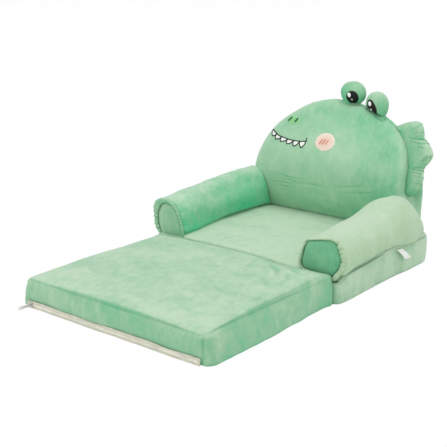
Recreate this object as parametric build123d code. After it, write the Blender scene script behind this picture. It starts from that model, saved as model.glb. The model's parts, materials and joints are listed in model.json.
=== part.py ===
from build123d import *
from functools import cache
import math
import os

# A low plush sofa for a small child, flipped open, in millimetres.
# X runs across, +Y to the back, +Z up, with the floor at zero.

os.makedirs("parts", exist_ok=True)

# Cloth, gaps and stitching
plush_cloth = 3.0
sheet_cloth = 1.5
sewn_gap = 0.3
stitch_gap = 0.1
stitch_height = 0.8
overrun = 6.0

# Flip-out pad
pad_width = 506.0
pad_depth = 433.0
pad_edge_height = 68.0
pad_crown_height = 80.0
pad_corner_radius = 13.0
pad_side_draw = 3.0
pad_top_radius = 10.0

# Seat base
base_width = 552.0
base_depth = 464.0
base_edge_height = 70.0
base_crown_height = 79.0
base_front_radius = 24.0
base_rear_radius = 74.0
base_side_draw = 3.0
base_top_radius = 16.0

# Fold between the two cushions
junction_gap = 2.0
pivot_drop = 0.2
strip_half_width = 18.0
strip_end_margin = 12.0
panel_margin = 3.0

# Arms
arm_width = 112.0
arm_height = 117.0
arm_overhang = 2.0
arm_front_setback = 9.0
arm_rear_setback = 35.0
arm_sink = 5.0
arm_side_bulge = 3.0
arm_shoulder_share = 0.42
arm_panel_recess = 3.0
welt_depth = 5.0
welt_width = 7.0
welt_stand = 1.5

# Each arm section: place along the arm, height, inner half width and outer half width
arm_section_shares = [
    (0.00, 0.72, 0.93, 0.93),
    (0.10, 0.79, 0.98, 0.98),
    (0.35, 0.90, 1.00, 1.00),
    (0.58, 0.98, 1.00, 1.00),
    (0.80, 0.93, 1.00, 0.98),
    (0.92, 0.74, 1.00, 0.88),
    (1.00, 0.42, 1.00, 0.58),
]

# Backrest
backrest_width = 474.0
backrest_foot_width = 466.0
backrest_height = 308.0
backrest_shoulder_height = 95.0
backrest_depth = 118.0
backrest_rear_setback = 12.0
backrest_rear_bow = 4.0
backrest_sink = 10.0
backrest_rim_radius = 9.0

# Each level of the backrest's front: height, then its forward reach in the middle and at the sides
backrest_level_shares = [
    (0.00, 0.46, 0.58),
    (0.17, 0.85, 0.68),
    (0.37, 1.00, 0.71),
    (0.59, 0.90, 0.54),
    (0.81, 0.54, 0.25),
    (1.06, 0.14, 0.08),
]

# Eyes, stuffed bumps astride the top rim
eye_radius = 33.0
eye_half_thickness = 24.0
eye_lift = 17.0
eye_setback = 12.0
eye_across_shares = {"eye_left": 0.077, "eye_right": 0.365}
patch_width = 34.0
patch_height = 36.0
patch_shift_across = 10.0
patch_shift_down = 6.0
highlight_width = 9.0
highlight_height = 11.0
highlight_shift = 6.5

# Face sewn on the backrest's front, as shares of its half width and height
mouth_left_share = (-0.80, 0.680)
mouth_middle_share = (-0.53, 0.636)
mouth_right_share = (-0.285, 0.650)
mouth_line_width = 2.4
mouth_tick_length = 9.0
tooth_count = 6
tooth_drop = 15.0
cheek_share = (-0.035, 0.670)
cheek_width = 58.0
cheek_height = 45.0
cheek_stroke_count = 3
cheek_stroke_length = 14.0
cheek_stroke_width = 3.0
cheek_stroke_pitch = 9.0
stroke_lean = 60.0
nostril_share = (-0.57, 0.795)
nostril_patch_width = 46.0
nostril_patch_height = 24.0
nostril_length = 14.0
nostril_width = 4.0
nostril_pitch = 22.0

# Crest on the right rim
crest_reach = 30.0
crest_height = 178.0
crest_foot_height = 101.0
crest_thickness = 24.0
crest_foot_setback = 50.0
crest_lean = 12.0
crest_edge_radius = 7.0
crest_corner_radius = 9.0

# Corners of the crest: across from the backrest's half width, then up from its foot
crest_corner_shares = {
    "top_root": (-2.50, 0.885),
    "top_tip": (-0.63, 1.00),
    "upper_notch": (-0.10, 0.78),
    "middle_tip": (0.93, 0.59),
    "lower_notch": (0.33, 0.38),
    "lower_tip": (0.60, 0.13),
    "foot": (0.07, 0.00),
    "foot_root": (-0.77, 0.01),
    "inside": (-2.60, 0.59),
}
crest_lobe_bulge = 4.0

# Blank folded tag under the right arm
label_length = 30.0
label_width = 18.0
label_thickness = 1.2
label_lean = 50.0
label_place_share = 0.62
label_drop = 3.0

# Zip along the pad's lower front edge
zip_height = 9.5
zip_end_margin = 0.5
tape_cloth = 0.8
tape_width = 5.0
chain_height = 5.0
chain_thickness = 2.8
slot_height = 9.2
stop_length = 2.5
stop_thickness = 1.0
slider_length = 11.0
slider_height = 8.2
slider_wall = 1.0
slider_clearance = 0.3
slider_post_length = 2.5
slider_post_height = 2.4
slider_stop_gap = 0.5
bridge_length = 8.0
bridge_width = 1.6
bridge_bar = 1.0
pull_length = 32.0
pull_width = 6.0
pull_thickness = 1.6
pull_pin_radius = 0.7
pull_ring_radius = 4.0
pull_hole_radius = 2.2
pull_cheek = 1.0

# Places that follow from the sizes
slider_half_depth = chain_thickness / 2 + slider_clearance + slider_wall
pin_stand = slider_half_depth + tape_cloth / 2 + slider_clearance + pull_pin_radius
pull_reach = pin_stand + pull_length
hinge_y = (pad_depth + pull_reach - base_depth) / 2
pad_back = hinge_y - junction_gap / 2
pad_front = pad_back - pad_depth
base_front = hinge_y + junction_gap / 2
base_back = base_front + base_depth
arm_centre = base_width / 2 + arm_overhang - arm_width / 2
arm_front = base_front + arm_front_setback
arm_back = base_back - arm_rear_setback
arm_foot = base_edge_height - arm_sink
backrest_back = base_back - backrest_rear_setback
backrest_shoulder = base_edge_height + backrest_shoulder_height
backrest_top = base_edge_height + backrest_height


# Cushions

def cushion(width, front, back, edge_height, crown_height, radii, draw, top_radius, inset, bottom):
    """A crowned cushion with rounded corners and drawn-in sides, shrunk all round by inset."""
    half = width / 2 - inset
    near = front + inset
    far = back - inset
    middle = (front + back) / 2
    outline = make_face([
        Line((-half, near), (half, near)),
        ThreePointArc((half, near), (half - draw, middle), (half, far)),
        Line((half, far), (-half, far)),
        ThreePointArc((-half, far), (-half + draw, middle), (-half, near)),
    ])
    front_radius, rear_radius = radii
    outline = fillet(outline.vertices().sort_by(Axis.Y)[:2], front_radius - inset)
    outline = fillet(outline.vertices().sort_by(Axis.Y)[-2:], rear_radius - inset)
    reach = math.hypot(width / 2, (back - front) / 2)
    rise = crown_height - edge_height
    crown_radius = (reach**2 + rise**2) / (2 * rise)
    block = Pos(0, 0, bottom) * extrude(outline, crown_height - inset - bottom + overrun)
    crown = Pos(0, middle, crown_height - crown_radius) * Rot(90, 0, 0) * Sphere(crown_radius - inset)
    form = block & crown
    top_edges = form.edges().filter_by(lambda edge: edge.center().Z > edge_height - rise - inset)
    return fillet(top_edges, top_radius - inset)


def pad_form(inset, bottom):
    return cushion(
        pad_width, pad_front, pad_back, pad_edge_height, pad_crown_height,
        (pad_corner_radius, pad_corner_radius), pad_side_draw, pad_top_radius, inset, bottom,
    )


@cache
def base_form(inset, bottom):
    return cushion(
        base_width, base_front, base_back, base_edge_height, base_crown_height,
        (base_front_radius, base_rear_radius), base_side_draw, base_top_radius, inset, bottom,
    )


def slab(x_range, y_range, z_range):
    """A box between two values on each axis."""
    spans = [high - low for low, high in (x_range, y_range, z_range)]
    middles = [(high + low) / 2 for low, high in (x_range, y_range, z_range)]
    return Pos(*middles) * Box(*spans)


def save(part, name):
    export_step(part, f"parts/{name}.step")


foam_inset = plush_cloth + sewn_gap
base_outer = base_form(0, sheet_cloth)
save(base_outer - base_form(plush_cloth, -overrun), "base_cover")
save(base_form(foam_inset, sheet_cloth), "base_foam")

# Zip slot in the pad's cover
zip_half = pad_width / 2 - pad_corner_radius - zip_end_margin
zip_slot = slab(
    (-zip_half, zip_half),
    (pad_front - overrun, pad_front + foam_inset),
    (zip_height - slot_height / 2, zip_height + slot_height / 2),
)
save(pad_form(0, sheet_cloth) - pad_form(plush_cloth, -overrun) - zip_slot, "pad_cover")
save(pad_form(foam_inset, sheet_cloth), "pad_foam")


# Non-slip sheets under the cushions, and the strip that joins them

def sheet(form):
    """The bottom slice of a cushion form, as thick as the sheet cloth."""
    wide = slab((-base_width, base_width), (2 * pad_front, 2 * base_back), (0, sheet_cloth))
    return form & wide


strip_half_length = pad_width / 2 - strip_end_margin
fold_zone = slab(
    (-base_width, base_width),
    (hinge_y - strip_half_width, hinge_y + strip_half_width),
    (-overrun, sheet_cloth + overrun),
)
save(sheet(base_form(panel_margin, -overrun)) - fold_zone, "base_bottom_panel")
save(sheet(pad_form(panel_margin, -overrun)) - fold_zone, "pad_bottom_panel")
hinge_strip = slab(
    (-strip_half_length, strip_half_length),
    (hinge_y - strip_half_width, hinge_y + strip_half_width),
    (0, sheet_cloth),
)
save(hinge_strip, "hinge_strip")


# Backrest

def backrest_level(height_share, middle_share, side_share, inset):
    """One level outline of the backrest, wider than its rim."""
    z = arm_foot - backrest_sink + height_share * (backrest_height + arm_sink + backrest_sink)
    side = backrest_width / 2 + overrun
    front_middle = backrest_back - middle_share * backrest_depth + inset
    front_side = backrest_back - side_share * backrest_depth + inset
    rear_side = backrest_back - inset
    rear_middle = rear_side + backrest_rear_bow
    return make_face([
        ThreePointArc((-side, front_side, z), (0, front_middle, z), (side, front_side, z)),
        Line((side, front_side, z), (side, rear_side, z)),
        ThreePointArc((side, rear_side, z), (0, rear_middle, z), (-side, rear_side, z)),
        Line((-side, rear_side, z), (-side, front_side, z)),
    ])


def rim_outline(inset):
    """The backrest seen from the front: bowed sides under half an ellipse."""
    half = backrest_width / 2 - inset
    foot_half = backrest_foot_width / 2 - inset
    foot = arm_foot - 2 * backrest_sink
    waist = (foot + backrest_shoulder) / 2
    waist_half = half - (half - foot_half) / 4
    return make_face([
        EllipticalCenterArc(
            (0, backrest_shoulder), half, backrest_top - inset - backrest_shoulder,
            start_angle=0, arc_size=180,
        ),
        ThreePointArc((-half, backrest_shoulder), (-waist_half, waist), (-foot_half, foot)),
        Line((-foot_half, foot), (foot_half, foot)),
        ThreePointArc((foot_half, foot), (waist_half, waist), (half, backrest_shoulder)),
    ])


def upright(face, front, back):
    """A flat outline stood up across the sofa and run from front to back."""
    return Pos(0, back, 0) * extrude(Plane.XZ * face, back - front)


@cache
def backrest_form(inset):
    levels = [backrest_level(*shares, inset) for shares in backrest_level_shares]
    front = backrest_back - backrest_depth - overrun
    back = backrest_back + backrest_rear_bow + overrun
    form = loft(levels) & upright(rim_outline(inset), front, back)
    rim = form.edges().filter_by(lambda edge: edge.center().Z > backrest_shoulder)
    return fillet(rim, backrest_rim_radius - inset)


backrest_outer = backrest_form(0)
backrest_room = backrest_form(-sewn_gap)
base_room = base_form(-sewn_gap, -overrun)
backrest_cover = backrest_outer - base_room
backrest_hollow = backrest_form(plush_cloth) - base_form(-sewn_gap - plush_cloth, -overrun)
save(backrest_cover - backrest_hollow, "backrest_cover")
save(backrest_form(foam_inset) - base_form(-sewn_gap - foam_inset, -overrun), "backrest_filling")


# Arms

def arm_section(y, height_share, inner_share, outer_share, inset):
    """One upright outline of the right arm: a flat foot under an arch."""
    rise = height_share * (arm_height + arm_sink)
    foot = arm_foot + inset
    top = arm_foot + rise - inset
    shoulder = arm_foot + arm_shoulder_share * rise
    inner = arm_centre - inner_share * arm_width / 2 + inset
    outer = arm_centre + outer_share * arm_width / 2 - inset
    centre = (inner + outer) / 2
    waist = (foot + shoulder) / 2
    inner_foot = inner + arm_side_bulge
    outer_foot = outer - arm_side_bulge
    return make_face([
        Line((inner_foot, y, foot), (outer_foot, y, foot)),
        ThreePointArc((outer_foot, y, foot), (outer, y, waist), (outer, y, shoulder)),
        ThreePointArc((outer, y, shoulder), (centre, y, top), (inner, y, shoulder)),
        ThreePointArc((inner, y, shoulder), (inner, y, waist), (inner_foot, y, foot)),
    ])


def arm_form(inset, front):
    """The right arm as one swelling, tapering limb, shrunk all round by inset, from front to back."""
    length = arm_back - arm_front
    sections = []
    for along_share, *shares in arm_section_shares:
        y = arm_front + along_share * length
        if along_share == 0:
            y = front
        if along_share == 1:
            y = y - inset
        sections.append(arm_section(y, *shares, inset))
    return loft(sections)


def seated(part, spare):
    """A piece cut to lie on the base and against the backrest, with spare cloth kept clear."""
    if spare == 0:
        return part - base_room - backrest_room
    return part - base_form(-sewn_gap - spare, -overrun) - backrest_form(-sewn_gap - spare)


arm_hollow = seated(arm_form(plush_cloth, arm_front - overrun), plush_cloth)
arm_cover = seated(arm_form(0, arm_front), 0) - arm_hollow
panel_front = arm_front + arm_panel_recess
panel_back = panel_front + plush_cloth
panel_zone = slab((0, base_width), (arm_front - 2 * overrun, panel_back), (0, backrest_top))
arm_filling = seated(arm_form(foam_inset, arm_front - overrun), foam_inset) - panel_zone
end_shares = arm_section_shares[0][1:]
end_face = arm_section(panel_back, *end_shares, foam_inset)
arm_end_panel = extrude(end_face, plush_cloth, dir=(0, -1, 0)) - base_form(-sewn_gap - foam_inset, -overrun)
welt_outer = arm_section(arm_front, *end_shares, -welt_stand)
welt_inner = arm_section(arm_front, *end_shares, welt_width)
welt_ring = extrude(welt_outer, welt_depth, dir=(0, -1, 0)) - extrude(welt_inner, welt_depth, dir=(0, -1, 0))
arm_end_welt = welt_ring - base_room

for piece, name in (
    (arm_cover, "arm_cover"),
    (arm_filling, "arm_filling"),
    (arm_end_panel, "arm_end_panel"),
    (arm_end_welt, "arm_end_welt"),
):
    save(piece, f"{name}_right")
    save(mirror(piece, about=Plane.YZ), f"{name}_left")


# Eyes

def dome_height(x):
    """Height of the backrest's rim above a place across it."""
    share = x / (backrest_width / 2)
    return backrest_shoulder + (backrest_top - backrest_shoulder) * math.sqrt(1 - share**2)


def eye_form(centre, growth):
    """A stuffed bump, round from the front and thinner from front to back."""
    radius = eye_radius + growth
    flatness_share = (eye_half_thickness + growth) / radius
    return Pos(*centre) * scale(Sphere(radius), by=(1, flatness_share, 1))


def sewn_on_eye(centre, outline, layer):
    """A thin patch that follows the front of an eye, in the given layer of stitching."""
    lower = stitch_gap + layer * (stitch_height + stitch_gap)
    skin = eye_form(centre, lower + stitch_height) - eye_form(centre, lower)
    x, y, z = centre
    front = y - eye_radius
    return skin & upright(Pos(x, z) * outline, front, y) - backrest_room


patch_outline = Pos(patch_shift_across, -patch_shift_down) * Ellipse(patch_width / 2, patch_height / 2)
highlight_place = (patch_shift_across - highlight_shift, highlight_shift - patch_shift_down)
highlight_outline = Pos(*highlight_place) * Ellipse(highlight_width / 2, highlight_height / 2)
eye_patches = []
eye_highlights = []
for name, across_share in eye_across_shares.items():
    x = across_share * backrest_width / 2
    centre = (x, backrest_back - eye_setback, dome_height(x) + eye_lift)
    save(eye_form(centre, 0) - backrest_room, name)
    eye_patches.append(sewn_on_eye(centre, patch_outline, 0))
    eye_highlights.append(sewn_on_eye(centre, highlight_outline, 1))
save(Compound(children=eye_patches), "eye_patches")
save(Compound(children=eye_highlights), "eye_highlights")


# Face on the backrest

def face_place(place_share):
    """A place on the front, from shares of the half width and height."""
    across, up = place_share
    return across * backrest_width / 2, base_edge_height + up * backrest_height


first_skin = backrest_form(-stitch_gap - stitch_height) - backrest_form(-stitch_gap)
second_skin = (
    backrest_form(-2 * stitch_gap - 2 * stitch_height) - backrest_form(-2 * stitch_gap - stitch_height)
)


def sewn_on_front(outline, skin):
    """Thin pieces that follow the backrest's front."""
    front = backrest_back - backrest_depth - overrun
    back = backrest_back - backrest_rim_radius - overrun
    return skin & upright(outline, front, back)


mouth_left = face_place(mouth_left_share)
mouth_middle = face_place(mouth_middle_share)
mouth_right = face_place(mouth_right_share)
mouth_arc = ThreePointArc(mouth_left, mouth_middle, mouth_right)
tick_top = (mouth_right[0], mouth_right[1] + mouth_tick_length)
mouth_stroke = trace(mouth_arc, mouth_line_width) + trace(Line(mouth_right, tick_top), mouth_line_width)
save(sewn_on_front(mouth_stroke, first_skin), "mouth_line")

tooth_band = trace(mouth_arc, mouth_line_width + 2 * stitch_gap)
teeth = []
for tooth in range(tooth_count):
    start = mouth_arc @ (tooth / tooth_count)
    end = mouth_arc @ ((tooth + 1) / tooth_count)
    middle = (start + end) / 2
    half_gap = (end - start).normalized() * mouth_line_width / 2
    tip = middle - Vector(0, tooth_drop)
    outline = make_face(Polyline(start + half_gap, end - half_gap, tip, close=True)) - tooth_band
    teeth.append(sewn_on_front(outline, first_skin))
save(Compound(children=teeth), "teeth")

cheek_place = face_place(cheek_share)
cheek_disc = Pos(*cheek_place) * Ellipse(cheek_width / 2, cheek_height / 2)
save(sewn_on_front(cheek_disc, first_skin), "cheek_patch")
cheek_strokes = []
for stroke in range(cheek_stroke_count):
    shift = (stroke - (cheek_stroke_count - 1) / 2) * cheek_stroke_pitch
    outline = Pos(cheek_place[0] + shift, cheek_place[1]) * SlotOverall(
        cheek_stroke_length, cheek_stroke_width, rotation=stroke_lean,
    )
    cheek_strokes.append(sewn_on_front(outline, second_skin))
save(Compound(children=cheek_strokes), "cheek_strokes")

nostril_place = face_place(nostril_share)
nostril_disc = Pos(*nostril_place) * Ellipse(nostril_patch_width / 2, nostril_patch_height / 2)
save(sewn_on_front(nostril_disc, first_skin), "nostril_patch")
nostrils = []
for side in (-1, 1):
    shift = side * nostril_pitch / 2
    outline = Pos(nostril_place[0] + shift, nostril_place[1]) * SlotOverall(
        nostril_length, nostril_width, rotation=stroke_lean,
    )
    nostrils.append(sewn_on_front(outline, second_skin))
save(Compound(children=nostrils), "nostrils")


# Crest

def crest_corner(name):
    across, up = crest_corner_shares[name]
    x = backrest_width / 2 + across * crest_reach
    z = base_edge_height + crest_foot_height + up * crest_height
    return Vector(x, z)


def lobe_side(start_name, end_name):
    """A side of a lobe, bulging outwards."""
    return SagittaArc(crest_corner(start_name), crest_corner(end_name), crest_lobe_bulge)


crest_outline = make_face([
    lobe_side("top_root", "top_tip"),
    lobe_side("top_tip", "upper_notch"),
    lobe_side("upper_notch", "middle_tip"),
    lobe_side("middle_tip", "lower_notch"),
    lobe_side("lower_notch", "lower_tip"),
    lobe_side("lower_tip", "foot"),
    Line(crest_corner("foot"), crest_corner("foot_root")),
    Line(crest_corner("foot_root"), crest_corner("inside")),
    Line(crest_corner("inside"), crest_corner("top_root")),
])
outer_corners = crest_outline.vertices().filter_by(lambda corner: corner.X > crest_corner("foot_root").X)
crest_outline = fillet(outer_corners, crest_corner_radius)
crest_block = upright(crest_outline, -crest_thickness / 2, crest_thickness / 2)
crest_edges = crest_block.edges().filter_by(Axis.Y, reverse=True)
crest_foot = base_edge_height + crest_foot_height
crest_form = Pos(0, backrest_back - crest_foot_setback, crest_foot) * Rot(-crest_lean, 0, 0) * Pos(
    0, 0, -crest_foot,
) * fillet(crest_edges, crest_edge_radius)
save(crest_form - backrest_room, "crest")

# Side label
label_skin = base_form(-sewn_gap - label_thickness, sheet_cloth) - base_form(-sewn_gap, -overrun)
label_y = base_front + label_place_share * base_depth
label_z = arm_foot - label_drop
label_block = Pos(base_width / 2, label_y, label_z) * Rot(-label_lean, 0, 0) * Pos(
    0, label_length / 2, 0,
) * Box(base_width / 2, label_length, label_width)
label_zone = slab((0, base_width), (base_front, base_back), (sheet_cloth, arm_foot - sewn_gap))
save(label_skin & label_block & label_zone, "side_label")


# Zip

tape_middle = pad_front - tape_cloth / 2
tape_inner = chain_height / 2
for name, side in (("zipper_tape_upper", 1), ("zipper_tape_lower", -1)):
    edges = sorted((zip_height + side * tape_inner, zip_height + side * (tape_inner + tape_width)))
    save(slab((-zip_half, zip_half), (pad_front - tape_cloth, pad_front), edges), name)

slider_x = -zip_half + stop_length + slider_stop_gap + slider_length / 2
slider_low = slider_x - slider_length / 2
slider_high = slider_x + slider_length / 2
chain_start = slider_low + slider_post_length + slider_stop_gap
chain_end = zip_half - stop_length
chain_depth = (tape_middle - chain_thickness / 2, tape_middle + chain_thickness / 2)
chain_rise = (zip_height - chain_height / 2, zip_height + chain_height / 2)
save(slab((chain_start, chain_end), chain_depth, chain_rise), "zipper_chain")

end_stop = slab((chain_end, zip_half), chain_depth, chain_rise)
stops = [end_stop]
for side in (-1, 1):
    near = zip_height + side * tape_inner
    far = near + side * tape_width / 2
    stops.append(slab(
        (-zip_half, -zip_half + stop_length),
        (pad_front - tape_cloth - stop_thickness, pad_front - tape_cloth),
        sorted((near, far)),
    ))
save(Compound(children=stops), "zipper_stops")

slider_front = tape_middle - slider_half_depth
slider_back = tape_middle + slider_half_depth
channel_half_depth = slider_half_depth - slider_wall
channel_half_height = chain_height / 2 + slider_clearance
slot_half_depth = tape_cloth / 2 + slider_clearance
slider_shell = slab(
    (slider_low, slider_high),
    (slider_front, slider_back),
    (zip_height - slider_height / 2, zip_height + slider_height / 2),
)
channel = slab(
    (slider_low - overrun, slider_high + overrun),
    (tape_middle - channel_half_depth, tape_middle + channel_half_depth),
    (zip_height - channel_half_height, zip_height + channel_half_height),
)
tape_slots = slab(
    (slider_low - overrun, slider_high + overrun),
    (tape_middle - slot_half_depth, tape_middle + slot_half_depth),
    (zip_height - slider_height, zip_height + slider_height),
)
post = slab(
    (slider_low, slider_low + slider_post_length),
    (slider_front, slider_back),
    (zip_height - slider_post_height / 2, zip_height + slider_post_height / 2),
)
pin_y = pad_front - pin_stand
bridge_front = pin_y - pull_pin_radius - slider_clearance - bridge_bar
bridge = slab(
    (slider_x - bridge_length / 2, slider_x + bridge_length / 2),
    (bridge_front, slider_front),
    (zip_height - bridge_width / 2, zip_height + bridge_width / 2),
)
bridge_eye = slab(
    (slider_x - bridge_length / 2 + bridge_bar, slider_x + bridge_length / 2 - bridge_bar),
    (bridge_front + bridge_bar, slider_front),
    (zip_height - bridge_width, zip_height + bridge_width),
)
save(slider_shell - channel - tape_slots + post + (bridge - bridge_eye), "zipper_slider")

# Pull tab, pointing forwards from a pin under the slider's bridge
cheek_inner = bridge_width / 2 + slider_clearance
cheek_outer = cheek_inner + pull_cheek
tab_start = math.hypot(bridge_length / 2, pin_y - bridge_front) + slider_clearance
ring_y = pin_y - pull_length + pull_ring_radius
pin = Pos(slider_x, pin_y, zip_height) * Cylinder(pull_pin_radius, 2 * cheek_outer)
tab = slab(
    (slider_x - pull_thickness / 2, slider_x + pull_thickness / 2),
    (ring_y, pin_y - tab_start),
    (zip_height - pull_width / 2, zip_height + pull_width / 2),
)
across = Rot(0, 90, 0)
ring = Pos(slider_x, ring_y, zip_height) * across * Cylinder(pull_ring_radius, pull_thickness)
hole = Pos(slider_x, ring_y, zip_height) * across * Cylinder(pull_hole_radius, 2 * pull_thickness)
pull = tab + ring - hole + pin
for side in (-1, 1):
    cheek_rise = sorted((zip_height + side * cheek_inner, zip_height + side * cheek_outer))
    pull = pull + slab(
        (slider_x - pull_pin_radius, slider_x + pull_pin_radius),
        (pin_y - tab_start, pin_y),
        cheek_rise,
    )
save(pull, "zipper_pull")
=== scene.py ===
import json
import math

import bmesh
import bpy
import numpy as np
from mathutils import Matrix, Vector, noise
from mathutils.bvhtree import BVHTree
from mathutils.kdtree import KDTree


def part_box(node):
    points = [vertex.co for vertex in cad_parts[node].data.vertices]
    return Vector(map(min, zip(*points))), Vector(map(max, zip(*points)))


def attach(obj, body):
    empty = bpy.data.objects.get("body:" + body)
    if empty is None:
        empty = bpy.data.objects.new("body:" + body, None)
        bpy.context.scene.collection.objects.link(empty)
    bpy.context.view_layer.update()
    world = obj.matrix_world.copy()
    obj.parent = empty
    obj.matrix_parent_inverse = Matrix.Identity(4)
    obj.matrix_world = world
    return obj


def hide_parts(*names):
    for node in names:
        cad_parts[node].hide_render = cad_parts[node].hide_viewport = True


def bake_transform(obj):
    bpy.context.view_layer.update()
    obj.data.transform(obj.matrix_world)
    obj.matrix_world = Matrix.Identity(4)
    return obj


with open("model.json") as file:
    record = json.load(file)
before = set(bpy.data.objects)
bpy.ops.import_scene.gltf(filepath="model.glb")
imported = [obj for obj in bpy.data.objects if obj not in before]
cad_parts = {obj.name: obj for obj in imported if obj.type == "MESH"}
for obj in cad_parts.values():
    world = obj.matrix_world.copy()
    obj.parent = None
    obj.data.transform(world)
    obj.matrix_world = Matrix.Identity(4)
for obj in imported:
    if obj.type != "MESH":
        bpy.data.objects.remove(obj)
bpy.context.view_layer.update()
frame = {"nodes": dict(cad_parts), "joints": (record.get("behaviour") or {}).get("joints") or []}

fold = frame["joints"][0]["pos_m"][1]
scene = bpy.context.scene
MM = 0.001
FULL_TURN = 2 * math.pi
CUSHION_VOXEL = 0.005
CREST_VOXEL = 0.003
REARWARD = Vector((0, 1, 0))


# Small tools

def raw(mesh):
    """Vertex places and normals of a mesh as arrays."""
    places = np.zeros(len(mesh.vertices) * 3)
    mesh.vertices.foreach_get("co", places)
    normals = np.zeros(len(mesh.vertices) * 3)
    mesh.vertex_normals.foreach_get("vector", normals)
    return places.reshape(-1, 3), normals.reshape(-1, 3)


def put(mesh, places):
    mesh.vertices.foreach_set("co", np.asarray(places, float).ravel())
    mesh.update()


def new_object(name, mesh):
    obj = bpy.data.objects.new(name, mesh)
    scene.collection.objects.link(obj)
    return obj


def from_data(name, places, faces):
    mesh = bpy.data.meshes.new(name)
    mesh.from_pydata([tuple(p) for p in places], [], faces)
    mesh.update()
    work = bmesh.new()
    work.from_mesh(mesh)
    bmesh.ops.recalc_face_normals(work, faces=work.faces)
    work.to_mesh(mesh)
    work.free()
    obj = new_object(name, mesh)
    smooth(obj)
    return obj


def from_work(name, work):
    """A smooth object from a finished bmesh."""
    mesh = bpy.data.meshes.new(name)
    work.to_mesh(mesh)
    work.free()
    obj = new_object(name, mesh)
    smooth(obj)
    return obj


def smooth(obj):
    for polygon in obj.data.polygons:
        polygon.use_smooth = True


def baked(obj):
    """The object's mesh with its modifiers applied, and none left."""
    bpy.context.view_layer.update()
    graph = bpy.context.evaluated_depsgraph_get()
    mesh = bpy.data.meshes.new_from_object(obj.evaluated_get(graph))
    obj.modifiers.clear()
    obj.data = mesh
    return obj


def tree_of(obj):
    mesh = obj.data
    corners = [v.co for v in mesh.vertices]
    return BVHTree.FromPolygons(corners, [p.vertices for p in mesh.polygons])


def even_mesh(name, node, size):
    """A closed CAD node copied as one even mesh of small squares."""
    obj = new_object(name, frame["nodes"][node].data.copy())
    remesh = obj.modifiers.new("even", "REMESH")
    remesh.mode = "VOXEL"
    remesh.voxel_size = size
    return baked(obj)


def finer(obj):
    more = obj.modifiers.new("finer", "SUBSURF")
    more.levels = 1
    more.render_levels = 1
    baked(obj)
    smooth(obj)


def thickened(obj, thickness, offset=0):
    """A flat piece with a thickness, to both sides or, with offset -1, to its back."""
    thick = obj.modifiers.new("thick", "SOLIDIFY")
    thick.thickness = thickness
    thick.offset = offset
    return baked(obj)


def band(one, two, count):
    """Faces between two rings of vertices, from each ring's first one."""
    return [(one + k, two + k, two + (k + 1) % count, one + (k + 1) % count) for k in range(count)]


def disc_faces(count, rings):
    """Faces of a disc: a fan round vertex 0, then bands from ring to ring."""
    faces = [(0, 1 + k, 1 + (k + 1) % count) for k in range(count)]
    for ring in range(rings - 1):
        faces += band(1 + ring * count, 1 + (ring + 1) * count, count)
    return faces


def grid(name, rows, columns, place):
    """A sheet of squares; place gives each corner from its row and column."""
    wide = columns + 1
    faces = []
    for i in range(rows):
        for j in range(columns):
            a = i * wide + j
            faces.append((a, a + 1, a + wide + 1, a + wide))
    return from_data(name, [place(i, j) for i in range(rows + 1) for j in range(wide)], faces)


def field(places, scale, seed, octaves):
    """Smooth noise from -1 to 1 at each place."""
    shift = Vector((seed * 3.7, seed * 1.3, seed * 7.1))
    return np.array([noise.fractal(Vector(p) * scale + shift, 0.9, 2.0, octaves) for p in places])


def points_tree(points):
    tree = KDTree(len(points))
    for index, point in enumerate(points):
        tree.insert(point, index)
    tree.balance()
    return tree


def away(places, points):
    """How far each place is from the nearest of the points."""
    tree = points_tree(points)
    return np.array([tree.find(p)[2] for p in places])


def near(distance, width):
    return np.exp(-(distance / width) ** 2)


def between(values, low, high):
    share = np.clip((values - low) / (high - low), 0, 1)
    return share * share * (3 - 2 * share)


def push(obj, amounts):
    """Moves each place of a piece along its normal by its own amount."""
    places, normals = raw(obj.data)
    put(obj.data, places + normals * amounts[:, None])


def groove(obj, seam, depth, width):
    places, _ = raw(obj.data)
    push(obj, -depth * near(away(places, seam), width))


def lumps(obj, size, height, seed):
    places, _ = raw(obj.data)
    push(obj, height * field(places, 1 / size, seed, 2))


cloth_settings = {
    "quality": 4, "mass": 0.3, "tension_stiffness": 20, "compression_stiffness": 20, "shear_stiffness": 8,
    "bending_stiffness": 1.5, "use_pressure": True, "uniform_pressure_force": 4.0,
    "vertex_group_mass": "pins",
}
cloth_steps = 18
pin_reach = 0.004
swell_reach = 0.03


def puff(obj, seam, swell, cap):
    start, normals = raw(obj.data)
    distance = away(start, seam)
    swollen = start + normals * (swell * (1 - np.exp(-distance / swell_reach)))[:, None]
    pins = obj.vertex_groups.new(name="pins")
    for index in np.nonzero(distance < pin_reach)[0]:
        pins.add([int(index)], 1.0, "REPLACE")
    simulated = obj.modifiers.new("cloth", "CLOTH")
    for setting, value in cloth_settings.items():
        setattr(simulated.settings, setting, value)
    simulated.settings.effector_weights.gravity = 0
    simulated.collision_settings.use_collision = False
    for step in range(1, cloth_steps + 1):
        scene.frame_set(step)
    graph = bpy.context.evaluated_depsgraph_get()
    end, _ = raw(bpy.data.meshes.new_from_object(obj.evaluated_get(graph)))
    obj.modifiers.clear()
    obj.vertex_groups.clear()
    scene.frame_set(1)
    move = end - start
    length = np.maximum(np.linalg.norm(move, axis=1), 1e-9)
    kept = cap * (1 - np.exp(-length / cap))
    put(obj.data, swollen + move * (kept / length)[:, None] * 0.5)


def store(obj, name, values):
    """Keeps a number for each place of a piece, which its material reads by name."""
    layer = obj.data.attributes.new(name, "FLOAT", "POINT")
    layer.data.foreach_set("value", values.astype(np.float32))


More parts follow.
